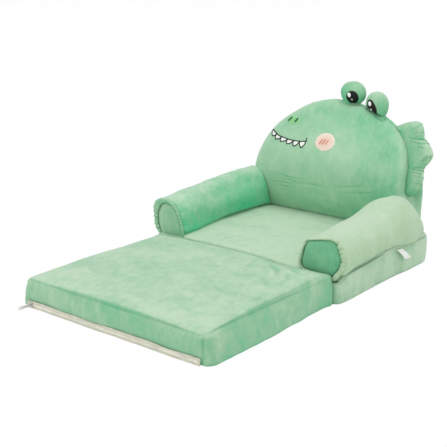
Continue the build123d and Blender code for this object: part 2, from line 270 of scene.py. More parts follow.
def shade(obj, light=0.0, seam=(), dark=()):
    """Stores painted light and shade at each place, from 0, deep, to 1, pale: upward faces paler, seams
    darker, plus the light given; and how strongly painted shade darkens each place near the dark lines.
    """
    places, normals = raw(obj.data)
    # Painted light: faces that point up are stored paler
    value = 0.45 + 0.35 * np.clip(normals[:, 2], -0.4, 1)
    # Painted shade along the seams
    if len(seam):
        value = value - 0.15 * near(away(places, seam), 0.0045)
    store(obj, "painted_light_and_shade", np.clip(value + light, 0, 1))
    # Painted shade: how far each place is darkened towards deep green near the dark lines
    depth = np.zeros(len(places))
    for points, width, strength in dark:
        depth = np.maximum(depth, strength * near(away(places, points), width))
    store(obj, "seam", depth)


def snapped(obj, points, reach=0.012):
    """The nearest places on a piece to the points of a line."""
    tree = tree_of(obj)
    found = [tree.find_nearest(p, reach)[0] for p in points]
    return [p for p in found if p is not None]


def hits(tree, rays):
    """Where rays, each a start and a direction, first meet a surface."""
    found = [tree.ray_cast(start, ray)[0] for start, ray in rays]
    return [hit for hit in found if hit is not None]


def spoke(turn):
    """The direction at a turn, seen from the front."""
    return Vector((math.cos(turn), 0, math.sin(turn)))


def closer(obj, points, reach):
    """Smaller faces within reach of the points."""
    tree = points_tree(points)
    work = bmesh.new()
    work.from_mesh(obj.data)
    edges = [e for e in work.edges if tree.find((e.verts[0].co + e.verts[1].co) / 2)[2] < reach]
    bmesh.ops.subdivide_edges(work, edges=edges, cuts=2, use_grid_fill=True)
    work.to_mesh(obj.data)
    work.free()
    smooth(obj)


def line_of(marks):
    """Close points along straight runs between marks given in millimetres, in the junction's own frame."""
    spacing = 1.5 * MM
    points = []
    for one, two in zip(marks, marks[1:]):
        one, two = (Vector((x, y, z)) * MM + Vector((0, fold, 0)) for x, y, z in (one, two))
        count = max(2, round((two - one).length / spacing))
        points += [one.lerp(two, k / count) for k in range(count + 1)]
    return points


def tube(name, path, radii, sides, closed=False):
    """A soft tube along a path; radii gives one half width, or each point's two."""
    count = len(path)
    places = []
    for i, point in enumerate(path):
        before = path[i - 1] if closed or i else point
        after = path[(i + 1) % count] if closed or i < count - 1 else point
        along = (after - before).normalized()
        one = (REARWARD - along * REARWARD.dot(along)).normalized()
        two = along.cross(one)
        wide, deep = radii[i] if hasattr(radii, "__len__") else (radii, radii)
        for k in range(sides):
            turn = FULL_TURN * k / sides
            places.append(point + one * (wide * math.cos(turn)) + two * (deep * math.sin(turn)))
    faces = []
    for i in range(count if closed else count - 1):
        faces += band(i * sides, (i + 1) % count * sides, sides)
    if not closed:
        faces.append(tuple(range(sides)))
        faces.append(tuple((count - 1) * sides + k for k in reversed(range(sides))))
    return from_data(name, places, faces)


def done(obj, body, slot, material, *nodes, fill=None):
    """The last word on a piece: its finish, the nodes it stands for and the body it rides on."""
    obj.data.materials.clear()
    obj.data.materials.append(material)
    if nodes:
        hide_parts(*nodes)
    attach(obj, body)


# Materials

def linear(red, green, blue):
    """A colour as an artist reads it on screen, 0 to 255, for the shader."""
    channels = (((c / 255 + 0.055) / 1.055) ** 2.4 if c > 10 else c / 3295 for c in (red, green, blue))
    return (*channels, 1)


class Nodes:
    """A few short ways to lay shader nodes."""

    def __init__(self, name):
        self.material = bpy.data.materials.new(name)
        self.material.use_nodes = True
        self.tree = self.material.node_tree
        self.shader = self.tree.nodes["Principled BSDF"]

    def add(self, kind, **values):
        node = self.tree.nodes.new(kind)
        for key, value in values.items():
            if key in node.inputs:
                node.inputs[key].default_value = value
            else:
                setattr(node, key, value)
        return node

    def link(self, source, target):
        self.tree.links.new(source, target)

    def paint(self, colour, normal):
        self.link(colour, self.shader.inputs["Base Color"])
        self.link(normal, self.shader.inputs["Normal"])

    def stored(self, name):
        return self.add("ShaderNodeAttribute", attribute_name=name).outputs["Fac"]

    def noise(self, scale, detail, roughness, distortion=0.0, stretch=(1, 1, 1), turn=(0, 0, 0)):
        place = self.add("ShaderNodeTexCoord")
        fit = self.add("ShaderNodeMapping", Scale=stretch, Rotation=turn)
        self.link(place.outputs["Object"], fit.inputs["Vector"])
        made = self.add("ShaderNodeTexNoise", Scale=scale, Detail=detail, Roughness=roughness)
        made.inputs["Distortion"].default_value = distortion
        self.link(fit.outputs["Vector"], made.inputs["Vector"])
        return made.outputs["Fac"]

    def span(self, source, low, high, to_low, to_high):
        made = self.add("ShaderNodeMapRange")
        for name, value in (("From Min", low), ("From Max", high), ("To Min", to_low), ("To Max", to_high)):
            made.inputs[name].default_value = value
        self.link(source, made.inputs["Value"])
        return made.outputs["Result"]

    def sum(self, one, two, kind="ADD"):
        made = self.add("ShaderNodeMath", operation=kind)
        self.link(one, made.inputs[0])
        self.link(two, made.inputs[1])
        return made.outputs["Value"]

    def ramp(self, factor, colours):
        """Colours as they read on screen, each with its place from 0 to 1."""
        made = self.add("ShaderNodeValToRGB")
        points = made.color_ramp.elements
        points[0].position, points[1].position = colours[0][0], colours[-1][0]
        points[0].color, points[1].color = linear(*colours[0][1]), linear(*colours[-1][1])
        for place, colour in colours[1:-1]:
            points.new(place).color = linear(*colour)
        self.link(factor, made.inputs["Fac"])
        return made.outputs["Color"]

    def bump(self, height, strength, distance, under=None):
        made = self.add("ShaderNodeBump", Strength=strength, Distance=distance)
        self.link(height, made.inputs["Height"])
        if under is not None:
            self.link(under, made.inputs["Normal"])
        return made.outputs["Normal"]

    def set(self, **values):
        for key, value in values.items():
            self.shader.inputs[key.replace("_", " ")].default_value = value


def plush(name, deep, middle, pale, turn=0.6, sheen=0.5, grain=0.3):
    """Short-pile plush: brushed patches, fine fibres and a soft sheen, over the painted light and shade that
    each piece stores, and painted shade darkening its seams.
    """
    n = Nodes(name)
    patches = n.noise(7, 3, 0.5, 0.3, (1, 2.2, 1.4), (0, 0, turn))
    strokes = n.noise(34, 4, 0.6, 0.4, (1, 0.8, grain), (0, 0, turn))
    mottle = n.noise(95, 4, 0.65, 0.6, (1, 0.7, 0.5), (0, 0, turn + 0.5))
    fibres = n.noise(1500, 2, 0.7)
    # Painted light and shade stored on each piece sets the base tone
    value = n.stored("painted_light_and_shade")
    layers = ((patches, 0.35, 0.12), (strokes, 0.3, 0.13), (mottle, 0.3, 0.13), (fibres, 0.3, 0.10))
    for source, low, sway in layers:
        value = n.sum(value, n.span(source, low, 1 - low, -sway, sway))
    # Painted shade: the seams darken towards this deep green
    mixed = n.add("ShaderNodeMixRGB", Color2=linear(28, 84, 56))
    n.link(n.stored("seam"), mixed.inputs["Fac"])
    n.link(n.ramp(value, [(0.0, deep), (0.5, middle), (1.0, pale)]), mixed.inputs["Color1"])
    normal = n.bump(strokes, 0.2, 0.002, n.bump(patches, 0.2, 0.004))
    n.paint(mixed.outputs["Color"], n.bump(fibres, 0.5, 0.0012, normal))
    n.set(Roughness=0.92, Sheen_Weight=sheen, Sheen_Roughness=0.45, Sheen_Tint=(0.86, 1.0, 0.90, 1))
    n.set(Specular_IOR_Level=0.15)
    return n.material


def cloth(name, dark, pale, size, roughness, sheen=0.2, bump=0.4):
    """A plain weave: two crossed sets of threads with slight unevenness."""
    n = Nodes(name)
    place = n.add("ShaderNodeTexCoord").outputs["Object"]
    waves = []
    for axis in ("X", "Y"):
        wave = n.add("ShaderNodeTexWave", wave_type="BANDS", bands_direction=axis, Scale=size, Distortion=0.6)
        n.link(place, wave.inputs["Vector"])
        waves.append(wave.outputs["Fac"])
    weave = n.sum(waves[0], waves[1], "MULTIPLY")
    uneven = n.noise(60, 3, 0.6, 0.5)
    value = n.sum(n.span(weave, 0, 1, 0, 0.5), n.span(uneven, 0.3, 0.7, 0, 0.5))
    normal = n.bump(weave, bump, 0.0006, n.bump(uneven, 0.2, 0.001))
    n.paint(n.ramp(value, [(0.0, dark), (1.0, pale)]), normal)
    n.set(Roughness=roughness, Sheen_Weight=sheen, Specular_IOR_Level=0.2)
    return n.material


def stitch(name, dark, pale, roughness=0.6, sheen=0.15):
    """Satin stitch: close parallel threads with a slight gloss."""
    n = Nodes(name)
    threads = n.noise(900, 2, 0.6, 0.2, (1, 1, 0.12), (0, 0.5, 0))
    n.paint(n.ramp(threads, [(0.25, dark), (0.75, pale)]), n.bump(threads, 0.6, 0.0008))
    n.set(Roughness=roughness, Sheen_Weight=sheen, Specular_IOR_Level=0.25)
    return n.material


def disc_felt(name, middle, rim):
    """Smooth felt whose colour changes softly from its middle to its rim."""
    n = Nodes(name)
    fuzz = n.noise(700, 3, 0.6)
    value = n.sum(n.stored("rim"), n.span(fuzz, 0.3, 0.7, -0.10, 0.10))
    n.paint(n.ramp(value, [(0.0, middle), (1.0, rim)]), n.bump(fuzz, 0.4, 0.0006))
    n.set(Roughness=0.9, Sheen_Weight=0.15, Specular_IOR_Level=0.2)
    return n.material


def plastic(name, dark, pale, roughness, metallic=0.0):
    """Hard parts, slightly uneven in tone and gloss."""
    n = Nodes(name)
    smudge = n.noise(40, 3, 0.5)
    n.link(n.span(smudge, 0.3, 0.7, roughness, roughness + 0.15), n.shader.inputs["Roughness"])
    n.paint(n.ramp(smudge, [(0.3, dark), (0.7, pale)]), n.bump(n.noise(350, 3, 0.6), 0.15, 0.0003))
    n.set(Metallic=metallic)
    return n.material


plush_main = plush("plush_main", (84, 190, 140), (144, 194, 156), (190, 216, 188))
# A deeper, greener copy of the plush for the left arm: painted shade for its shaded inner side
plush_left_shaded = plush("plush_left_arm_shaded", (64, 198, 148), (134, 200, 158), (188, 216, 190))
plush_back = plush("plush_backrest", (94, 182, 136), (146, 200, 162), (176, 212, 180), turn=0.2, grain=0.6)
plush_pale = plush("plush_pale", (144, 190, 146), (176, 206, 168), (192, 214, 188), turn=0.9)
plush_dark = plush("plush_deep", (84, 164, 120), (128, 194, 154), (160, 208, 170), sheen=0.3)
black_felt = stitch("black_felt", (3, 3, 4), (11, 12, 12), 0.5, 0.0)
white_felt = stitch("white_felt", (238, 242, 236), (254, 255, 252), 0.8)
dark_thread = stitch("dark_thread", (8, 22, 16), (24, 46, 34), 0.7, 0.0)
green_thread = stitch("green_thread", (40, 92, 52), (66, 122, 72))
light_patch = disc_felt("light_patch", (138, 204, 138), (152, 206, 162))
pink_felt = disc_felt("pink_felt", (238, 207, 192), (236, 222, 206))
orange_thread = stitch("orange_thread", (196, 104, 72), (226, 146, 108))
satin = cloth("satin", (228, 234, 226), (252, 253, 250), 1600, 0.45, 0.1, 0.2)
tape_weave = cloth("tape_weave", (196, 194, 176), (232, 230, 214), 1800, 0.8)
under_cloth = cloth("under_cloth", (70, 78, 66), (104, 112, 98), 900, 0.9)
zip_plastic = plastic("zip_plastic", (206, 204, 188), (232, 230, 216), 0.4)
slider_paint = plastic("slider_paint", (180, 182, 176), (206, 208, 202), 0.3, 0.3)
pull_plastic = plastic("pull_plastic", (186, 188, 184), (222, 224, 220), 0.35)


# Camera and light

azimuth = math.radians(38.546)
elevation = math.radians(16.133)
roll = math.radians(0.629)
back = Vector((
    math.sin(azimuth) * math.cos(elevation), -math.cos(azimuth) * math.cos(elevation), math.sin(elevation),
))
level = Vector((math.cos(azimuth), math.sin(azimuth), 0))
upright = back.cross(level)
right = level * math.cos(roll) + upright * math.sin(roll)
top = upright * math.cos(roll) - level * math.sin(roll)
camera = bpy.data.objects.new("camera", bpy.data.cameras.new("camera"))
camera.data.lens = 80.5
camera.data.sensor_width = 36
camera_place = Vector((1.3559, -1.7629 + fold, 0.7829))
camera.matrix_world = Matrix.Translation(camera_place) @ Matrix((
    (right.x, top.x, back.x, 0), (right.y, top.y, back.y, 0), (right.z, top.z, back.z, 0), (0, 0, 0, 1),
))
scene.collection.objects.link(camera)
scene.camera = camera


def lamp(name, place, aim, width, power):
    light = bpy.data.lights.new(name, "AREA")
    light.size = width
    light.energy = power
    obj = new_object(name, light)
    obj.location = place
    obj.rotation_mode = "QUATERNION"
    obj.rotation_quaternion = (Vector(aim) - Vector(place)).to_track_quat("-Z", "Y")


lamp("overhead", (0.3, 0.0, 2.2), (0, 0, 0.1), 1.8, 20)
lamp("right_soft", (2.4, 0.2, 1.2), (0, 0, 0.15), 1.4, 8)
lamp("front_soft", (-0.6, -2.6, 1.0), (0, 0, 0.15), 1.6, 17)


def white_when_seen(tree, plain, shown, share, target):
    """One shader lights the sofa, the other is what the camera sees, straight or by reflection."""
    shown.inputs["Color"].default_value = (1, 1, 1, 1)
    shown.inputs["Strength"].default_value = 1.0
    paths = tree.nodes.new("ShaderNodeLightPath")
    seen = paths.outputs["Is Camera Ray"]
    for ray in ("Is Glossy Ray", "Is Transmission Ray"):
        either = tree.nodes.new("ShaderNodeMath")
        either.operation = "MAXIMUM"
        tree.links.new(seen, either.inputs[0])
        tree.links.new(paths.outputs[ray], either.inputs[1])
        seen = either.outputs[0]
    part = tree.nodes.new("ShaderNodeMath")
    part.operation = "MULTIPLY"
    part.inputs[1].default_value = share
    tree.links.new(seen, part.inputs[0])
    mix = tree.nodes.new("ShaderNodeMixShader")
    for place, node in enumerate((part, plain, shown)):
        tree.links.new(node.outputs[0], mix.inputs[place])
    tree.links.new(mix.outputs[0], tree.nodes[target].inputs["Surface"])


world = bpy.data.worlds.new("studio")
world.use_nodes = True
scene.world = world
plain = world.node_tree.nodes["Background"]
plain.inputs["Color"].default_value = (1, 1, 1, 1)
plain.inputs["Strength"].default_value = 0.60
shown = world.node_tree.nodes.new("ShaderNodeBackground")
white_when_seen(world.node_tree, plain, shown, 1.0, "World Output")

floor = from_data("floor", [(-30, -30, 0), (30, -30, 0), (30, 30, 0), (-30, 30, 0)], [(0, 1, 2, 3)])
floor.location = (0, 0, -0.0006)
floor_paint = Nodes("floor_paint")
floor_paint.set(Base_Color=(0.94, 0.94, 0.94, 1), Roughness=1.0, Specular_IOR_Level=0.0)
white_when_seen(
    floor_paint.tree, floor_paint.shader, floor_paint.add("ShaderNodeEmission"), 0.985, "Material Output",
)
floor.data.materials.append(floor_paint.material)
scene.view_settings.view_transform = "Standard"


# Seams found on the start shapes

ring_rays = 1100
foot_seam = 0.004


def ring_seam(tree, centre, height):
    """Points where level rays from the middle leave the cushion at one height."""
    middle = Vector((*centre, height))
    turns = [FULL_TURN * k / ring_rays for k in range(ring_rays)]
    return hits(tree, [(middle, Vector((math.cos(turn), math.sin(turn), 0))) for turn in turns])


def corner_seam(tree, centre, corner, low, high):
    """Points up a cushion's corner, seen from its middle."""
    rays = []
    for height in np.arange(low, high, 0.003):
        start = Vector((*centre, height))
        rays.append((start, (Vector((*corner, height)) - start).normalized()))
    return hits(tree, rays)


# Pad and base

# How the arms' undersides bow up beside the base, along and up
arm_lift = ([10, 59, 127, 189, 245, 283, 385, 430], [0, 2, 5, 10, 13, 11, 3, 0])
bottom_cloth = 1.5 * MM
rim_width = 12 * MM
# How much higher or lower than flat the junction of the two cushions lies, across and up
junction_rise = ([-252, -171, 35, 116, 170, 245], [2, 4, 4, 0, -1, -2])
# The pad's right side leans outwards: along, then how far out its foot stands and how its top edge rises
pad_flare = ([-433, -425, -410, -372, -233, -134, -86, -30, 0], [4, 12, 19, 21, 20, 15, 10, 8, 6])
pad_rise = ([-431, -380, -260, -150, -65, 0], [-4, -1, 4, 6, 9, 9])
pad_low, pad_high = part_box("pad_cover")
base_low, base_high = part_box("base_cover")
seam_height = 0.062
pad_top_seam = pad_low.z + seam_height
base_top_seam = base_low.z + seam_height
# How far the two cushions press into their common plane, and how far from it their seams end
pressed_in = 0.0009
seam_end = 0.016
seam_groove = (0.0014, 0.0030)


def junction(places, side):
    """Raises or lowers one cushion's end where the two meet."""
    x, y, z = places.T
    distance = (y - fold) * side
    share = (1 - between(distance, 0.0, 0.045)) * between(z, 0.010, 0.055)
    z += np.interp(x / MM, *junction_rise) * MM * share


def squarer(places, corner, reach, give):
    """Fills out an upright corner that the start shape rounds off."""
    x = (places[:, 0] - (corner[0] - reach)) / reach
    y = (places[:, 1] - (corner[1] - reach)) / reach
    inside = (x > 0) & (y > 0)
    turn = np.arctan2(y, x)
    square = 1 / np.maximum(np.abs(np.cos(turn)), np.abs(np.sin(turn)))
    far = np.clip(np.hypot(x, y), 0, 1)
    scale = np.where(inside, 1 + (square - 1) * give * far ** 2, 1)
    places[:, 0] += np.where(inside, x * (scale - 1) * reach, 0)
    places[:, 1] += np.where(inside, y * (scale - 1) * reach, 0)


def spread_foot(places, low, high):
    """Lets the plush reach the ground round the rim; further in it rests on the cloth underneath."""
    x, y, z = places.T
    from_edge = np.minimum.reduce([
        x - low.x, high.x - x, y - low.y, high.y - y,
    ])
    at_rim = from_edge < rim_width
    ground = np.where(at_rim, 0.0002, bottom_cloth)
    near_ground = z < bottom_cloth + 0.0035
    lowered = np.where(at_rim, ground + (z - bottom_cloth) * 0.8, z)
    z[:] = np.maximum(np.where(near_ground, lowered, z), ground)


def wrinkles(obj, lines):
    """Soft creases on a top face: each line is two places and a strength, and fades at its ends. Returns
    painted shade in the creases and painted light on the ridges beside them.
    """
    depth, width = 1.8 * MM, 6 * MM
    places, normals = raw(obj.data)
    x, y, z = places.T
    upward = between(normals[:, 2], 0.3, 0.8)
    total = np.zeros(len(places))
    for x0, y0, x1, y1, strong in lines:
        run = np.array([x1 - x0, y1 - y0])
        length = np.linalg.norm(run)
        run = run / length
        along = (x - x0) * run[0] + (y - y0) * run[1]
        aside = (x - x0) * run[1] - (y - y0) * run[0]
        aside = aside + 0.004 * np.sin(along * 60 + x0 * 90)
        fade = np.sin(np.pi * np.clip(along / length, 0, 1))
        total += strong * fade * (near(aside, width) - 0.7 * near(aside - width * 1.8, width))
    push(obj, -(depth * total * upward))
    # Painted shade in the creases, painted light on their ridges
    return 0.22 * total * upward


cushion_swell = 0.0034


def cushion(name, node, box, top_seam, corner, seed):
    obj = even_mesh(name, node, CUSHION_VOXEL)
    low, high = box
    centre = ((low.x + high.x) / 2, (low.y + high.y) / 2)
    foot = low.z + foot_seam

    def upper_seams(tree):
        return ring_seam(tree, centre, top_seam) + corner_seam(tree, centre, corner, foot, top_seam)

    tree = tree_of(obj)
    puff(obj, upper_seams(tree) + ring_seam(tree, centre, foot), cushion_swell, 0.006)
    finer(obj)
    places, _ = raw(obj.data)
    places[:, 1] = np.clip(places[:, 1], low.y - 0.004, high.y + 0.004)
    places[:, 2] = np.maximum(places[:, 2], low.z)
    put(obj.data, places)
    seam = upper_seams(tree_of(obj))
    lumps(obj, 0.11, 0.0022, seed)
    lumps(obj, 0.028, 0.0005, seed + 1)
    return obj, seam


# Soft creases on the two cushions: from and to, across and along, and their strength
pad_wrinkles = [
    (0.060, -0.020, 0.110, -0.105, 0.8), (0.110, -0.015, 0.190, -0.110, 1.0),
    (0.150, -0.020, 0.235, -0.070, 1.0), (0.020, -0.030, 0.050, -0.130, 0.5),
    (0.180, -0.040, 0.225, -0.150, 0.8), (-0.060, -0.060, 0.060, -0.150, 0.4),
    (-0.140, -0.160, -0.020, -0.240, 0.4), (0.050, -0.200, 0.190, -0.270, 0.5),
    (-0.200, -0.300, -0.060, -0.360, 0.4), (0.080, -0.330, 0.200, -0.390, 0.4),
    (0.130, -0.120, 0.240, -0.180, 0.6),
]
seat_wrinkles = [
    (-0.090, 0.010, -0.060, 0.120, 0.7), (-0.040, 0.010, 0.030, 0.140, 0.8),
    (0.010, 0.006, 0.085, 0.110, 0.9), (0.060, 0.000, 0.140, 0.090, 1.0),
    (0.095, -0.006, 0.150, 0.130, 0.8), (0.030, 0.060, 0.060, 0.200, 0.5),
    (-0.120, 0.060, -0.020, 0.230, 0.4), (0.110, 0.100, 0.150, 0.240, 0.5),
    (-0.060, 0.240, 0.090, 0.300, 0.3),
]
pad, pad_seam = cushion(
    "pad", "pad_foam", (pad_low, pad_high), pad_top_seam, (pad_high.x, pad_low.y), 3,
)
pad_seam = [p for p in pad_seam if p.y < pad_high.y - seam_end]
groove(pad, pad_seam, *seam_groove)
pad_crease_shading = wrinkles(pad, pad_wrinkles)
places, _ = raw(pad.data)
x, y, z = places.T
_, tape_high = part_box("zipper_tape_upper")
front_zone = (y < pad_low.y + 0.03) * (1 - between(z, 0.0145, 0.021))
wall = tape_high.y + 0.0006
y[:] = np.where(y < wall, y + (wall - y) * front_zone, y)
squarer(places, (pad_high.x, pad_high.y), 0.030, 0.8)
y[:] = np.minimum(y, pad_high.y + pressed_in)
spread_foot(places, pad_low, pad_high)
junction(places, -1)
to_edge = between(x, 0.13, 0.232)
along = (y - fold) / MM
z += np.interp(along, *pad_rise) * MM * to_edge * between(z, 0.010, 0.055)
x += np.interp(along, *pad_flare) * MM * to_edge * (1 - np.clip(z / seam_height, 0, 1))
# The corner by the slider is slacker and spreads towards the ground
slack = between(-y, 0.36, 0.425) * between(-x, 0.15, 0.245)
x -= 0.013 * slack * (1 - between(z, 0.0, 0.066)) + 0.002 * slack
put(pad.data, places)


# Painted light: fronts paler and the top near the front paler; painted shade in the creases
def pad_light(places, normals):
    front = between(-normals[:, 1], 0.3, 0.9)
    near_front = 1 - between(places[:, 1], -0.40, -0.22)
    return 0.10 * front - 0.05 + 0.11 * near_front * between(normals[:, 2], 0.5, 0.9) - pad_crease_shading


# Painted shade along the pad's top seam
shade(pad, pad_light(*raw(pad.data)), pad_seam, [(pad_seam, 0.0018, 0.30)])
done(pad, "flip_pad", "plush", plush_main, "pad_cover", "pad_foam", fill=0.85)

# Where the right arm's underside meets the base, seen from the side: across, along and up; painted shade runs
# along it
arm_line = line_of([
    (254, 8, 55), (262, 9, 60), (270, 18, 69), (276, 49, 75), (278, 79, 77), (278, 131, 78),
    (279, 189, 83), (279, 235, 84),
])
arm_line_rear = line_of([(279, 235, 84), (278, 284, 75), (278, 334, 70), (277, 385, 74), (270, 430, 76)])
base, base_seam = cushion(
    "base", "base_foam", (base_low, base_high), base_top_seam, (base_low.x, base_low.y), 11,
)
base_seam = [p for p in base_seam if p.y > base_low.y + seam_end or p.z < base_top_seam - 0.006]
groove(base, base_seam, *seam_groove)
seat_crease_shading = wrinkles(base, seat_wrinkles)
places, _ = raw(base.data)
x, y, z = places.T
y[:] = np.maximum(y, base_low.y - pressed_in)
spread_foot(places, base_low, base_high)
junction(places, 1)
# Its sides stand up to the arms' undersides
edge_rise = np.interp((y - fold) / MM, *arm_lift) * MM + 0.006
rising = between(np.abs(x), 0.225, 0.262) * between(z, 0.020, 0.062)
rising = rising * between(y, 0.020, 0.050)
z += np.where(x > 0, edge_rise, 0.004) * rising
# The right arm's front end presses its corner down
pressed = between(x, 0.195, 0.240) * (1 - between(y, 0.022, 0.058))
z -= 0.011 * pressed * between(z, 0.020, 0.060)
put(base.data, places)


# Painted light: faces turned to the right paler; painted shade in the creases
def base_light(places, normals):
    return 0.25 + 0.22 * between(normals[:, 0], 0.3, 0.9) - seat_crease_shading


# Painted shade along the seams and under the right arm
shade(base, base_light(*raw(base.data)), base_seam, [
    (snapped(base, arm_line), 0.0030, 0.95), (snapped(base, arm_line_rear), 0.0022, 0.5),
])
done(base, "sofa", "plush", plush_main, "base_cover", "base_foam", fill=0.8)


# Backrest

back_low, back_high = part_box("backrest_cover")
backrest = even_mesh("backrest", "backrest_filling", CUSHION_VOXEL)
shoulder = back_low.z + (back_high.z - back_low.z) * 0.34


def rim_points(obj, inward):
    """Points of the seam between the backrest's front and its side strip."""
    tree = tree_of(obj)
    middle = Vector((0, (back_low.y + back_high.y) / 2 + 0.04, shoulder))
    rays = 500
    points = []
    for k in range(rays):
        ray = spoke(math.radians(-50) + math.radians(280) * k / (rays - 1))
        edge = tree.ray_cast(middle, ray)[0]
        if edge is not None and edge.z >= back_low.z + 0.012:
            spot = edge - ray * inward
            points += hits(tree, [(Vector((spot.x, back_low.y - 0.2, spot.z)), REARWARD)])
    return points


# Its front panel is narrower than its rear one beside the crest: up, and how far it is drawn in
panel_draw = ([0.09, 0.115, 0.145, 0.172, 0.20, 0.228, 0.265, 0.30, 0.335], [0, 8, 20, 29, 26, 18, 10, 4, 0])
rim = rim_points(backrest, 0.005)
puff(backrest, rim, 0.0036, 0.010)


def rounder(obj, points, width, times, give):
    """Rounds a sharp rim: even smoothing that fades away from the points, then a little fullness back."""
    places, _ = raw(obj.data)
    share = near(away(places, points), width)
    links = np.array([tuple(e.vertices) for e in obj.data.edges])
    count = np.bincount(links.ravel(), minlength=len(places))[:, None]
    for _ in range(times):
        total = np.zeros_like(places)
        np.add.at(total, links[:, 0], places[links[:, 1]])
        np.add.at(total, links[:, 1], places[links[:, 0]])
        places = places + (total / count - places) * (0.6 * share)[:, None]
    put(obj.data, places)
    push(obj, give * share)


rounder(backrest, rim, 0.030, 30, 0.006)
finer(backrest)
rim = rim_points(backrest, 0.010)
left_rim = [p for p in rim if p.x <= 0.02]
strip_middle = Vector((0, back_low.y + 0.094, shoulder))
strip_turns = np.radians(np.linspace(40, 58, 160))
strip_seam = hits(tree_of(backrest), [(strip_middle, spoke(turn)) for turn in strip_turns])
groove(backrest, strip_seam, 0.0020, 0.0030)
groove(backrest, left_rim, 0.0006, 0.003)
lumps(backrest, 0.13, 0.003, 21)
lumps(backrest, 0.03, 0.0006, 22)
# The seam that holds the eyes, across and up, lies deep in the plush
eye_seam_marks = [(13, 379), (40, 377), (64, 378), (84, 376), (102, 367), (119, 358), (137, 350)]
eye_seam_depth = 395
eye_seam_line = line_of([(x, eye_seam_depth, z) for x, z in eye_seam_marks])
closer(backrest, eye_seam_line, 0.026)


def creases(obj, lines, depth, width):
    """Fine compression creases: each line is two places, left and right, and fades at its ends."""
    places, normals = raw(obj.data)
    x, y, z = places.T
    facing = between(-normals[:, 1], 0.2, 0.6)
    total = np.zeros(len(places))
    for x0, z0, x1, z1 in lines:
        along = np.clip((x - x0) / (x1 - x0), 0, 1)
        middle = z0 + (z1 - z0) * along + 0.0009 * np.sin(along * 7 + x0 * 50)
        total += np.sin(np.pi * along) * near(z - middle, width)
    push(obj, -(depth * total * facing))
    return total * facing


back_creases = creases(backrest, [
    (-0.150, 0.177, -0.085, 0.170), (-0.112, 0.167, -0.050, 0.158), (-0.140, 0.156, -0.080, 0.151),
    (-0.060, 0.171, 0.020, 0.161), (-0.185, 0.150, -0.060, 0.158), (-0.150, 0.163, 0.010, 0.166),
    (-0.120, 0.172, -0.030, 0.176), (-0.160, 0.142, -0.080, 0.146), (0.030, 0.168, 0.150, 0.186),
    (0.060, 0.158, 0.190, 0.170),
], 0.0011, 0.0021)

places, _ = raw(backrest.data)
x, y, z = places.T
forward = 1 - between(y, back_low.y + 0.092, back_high.y - 0.008)
x -= np.interp(z, *panel_draw) * MM * forward * between(x, 0.06, 0.22)
put(backrest.data, places)
sight_lines = [(camera_place, (mark - camera_place).normalized()) for mark in eye_seam_line]
eye_seam = hits(tree_of(backrest), sight_lines)
groove(backrest, eye_seam, 0.0030, 0.0040)
groove(backrest, eye_seam, 0.0030, 0.0160)


# Painted light and shade on the backrest: paler on the left and on the side strip, deeper at the top and on
# the right, painted shade in the hollow under the right eye and in the creases
def back_light(places, normals):
    x, y, z = places.T
    high = between(z, 0.14, 0.30)
    left = between(-x, 0.08, 0.24)
    hollow_shade = near(np.hypot(x - 0.10, z - 0.345), 0.05)
    strip = between(normals[:, 0], 0.45, 0.85)
    top = between(z, 0.24, 0.34)
    right = between(x, 0.05, 0.18) * (1 - strip)
    strip = strip * (0.25 + 0.75 * between(z, 0.27, 0.32))
    tone = 0.21 - 0.03 * high - 0.26 * top + 0.16 * left - 0.28 * right - 0.20 * hollow_shade + 0.18 * strip
    return tone - 0.22 * back_creases


# Two hollows under the eyes: across, up, width and depth
places, normals = raw(backrest.data)
forward = between(-normals[:, 1], 0.0, 0.4)
for across, up, wide, dip in ((0.105, 0.340, 0.028, 0.006), (0.050, 0.356, 0.026, 0.003)):
    places[:, 1] += dip * near(np.hypot(places[:, 0] - across, places[:, 2] - up), wide) * forward
put(backrest.data, places)
between_eyes = 0.066
sharp_eye_seam = [p for p in eye_seam if p.x > between_eyes]
soft_eye_seam = [p for p in eye_seam if p.x <= between_eyes]
# Painted shade along the strip and eye seams, widest under the right eye
shade(backrest, back_light(*raw(backrest.data)), strip_seam + eye_seam, [
    (sharp_eye_seam, 0.0024, 0.35), (soft_eye_seam, 0.0020, 0.6), (sharp_eye_seam, 0.0100, 0.18),
])
done(backrest, "sofa", "plush", plush_back, "backrest_cover", "backrest_filling", fill=0.75)


# Arms

# The raised lip at each arm's front, across and up in millimetres, and the panel inside it
lip_marks = {
    "right": [
        (163, 72), (159, 84), (166, 106), (177, 137), (219, 146), (246, 151), (268, 148), (283, 106),
        (279, 84), (268, 66), (252, 53), (238, 56), (202, 60), (170, 63),
    ],
    "left": [
        (-278, 112), (-279, 132), (-271, 148), (-255, 156), (-238, 156), (-219, 150), (-201, 134),
        (-190, 112), (-184, 90), (-180, 61), (-212, 59), (-248, 59), (-267, 69), (-276, 90),
    ],
}
panel_marks = {
    "right": [
        (168, 70), (165, 83), (174, 118), (182, 134), (215, 142), (244, 146), (259, 142), (273, 105),
        (267, 84), (250, 62), (242, 58), (202, 62), (176, 65),
    ],
    "left": [
        (-240, 147), (-219, 143), (-204, 128), (-194, 107), (-187, 82), (-183, 62), (-224, 60), (-253, 61),
        (-265, 90), (-266, 116), (-256, 138),
    ],
}
lip_turns = 144
slice_turns = 72
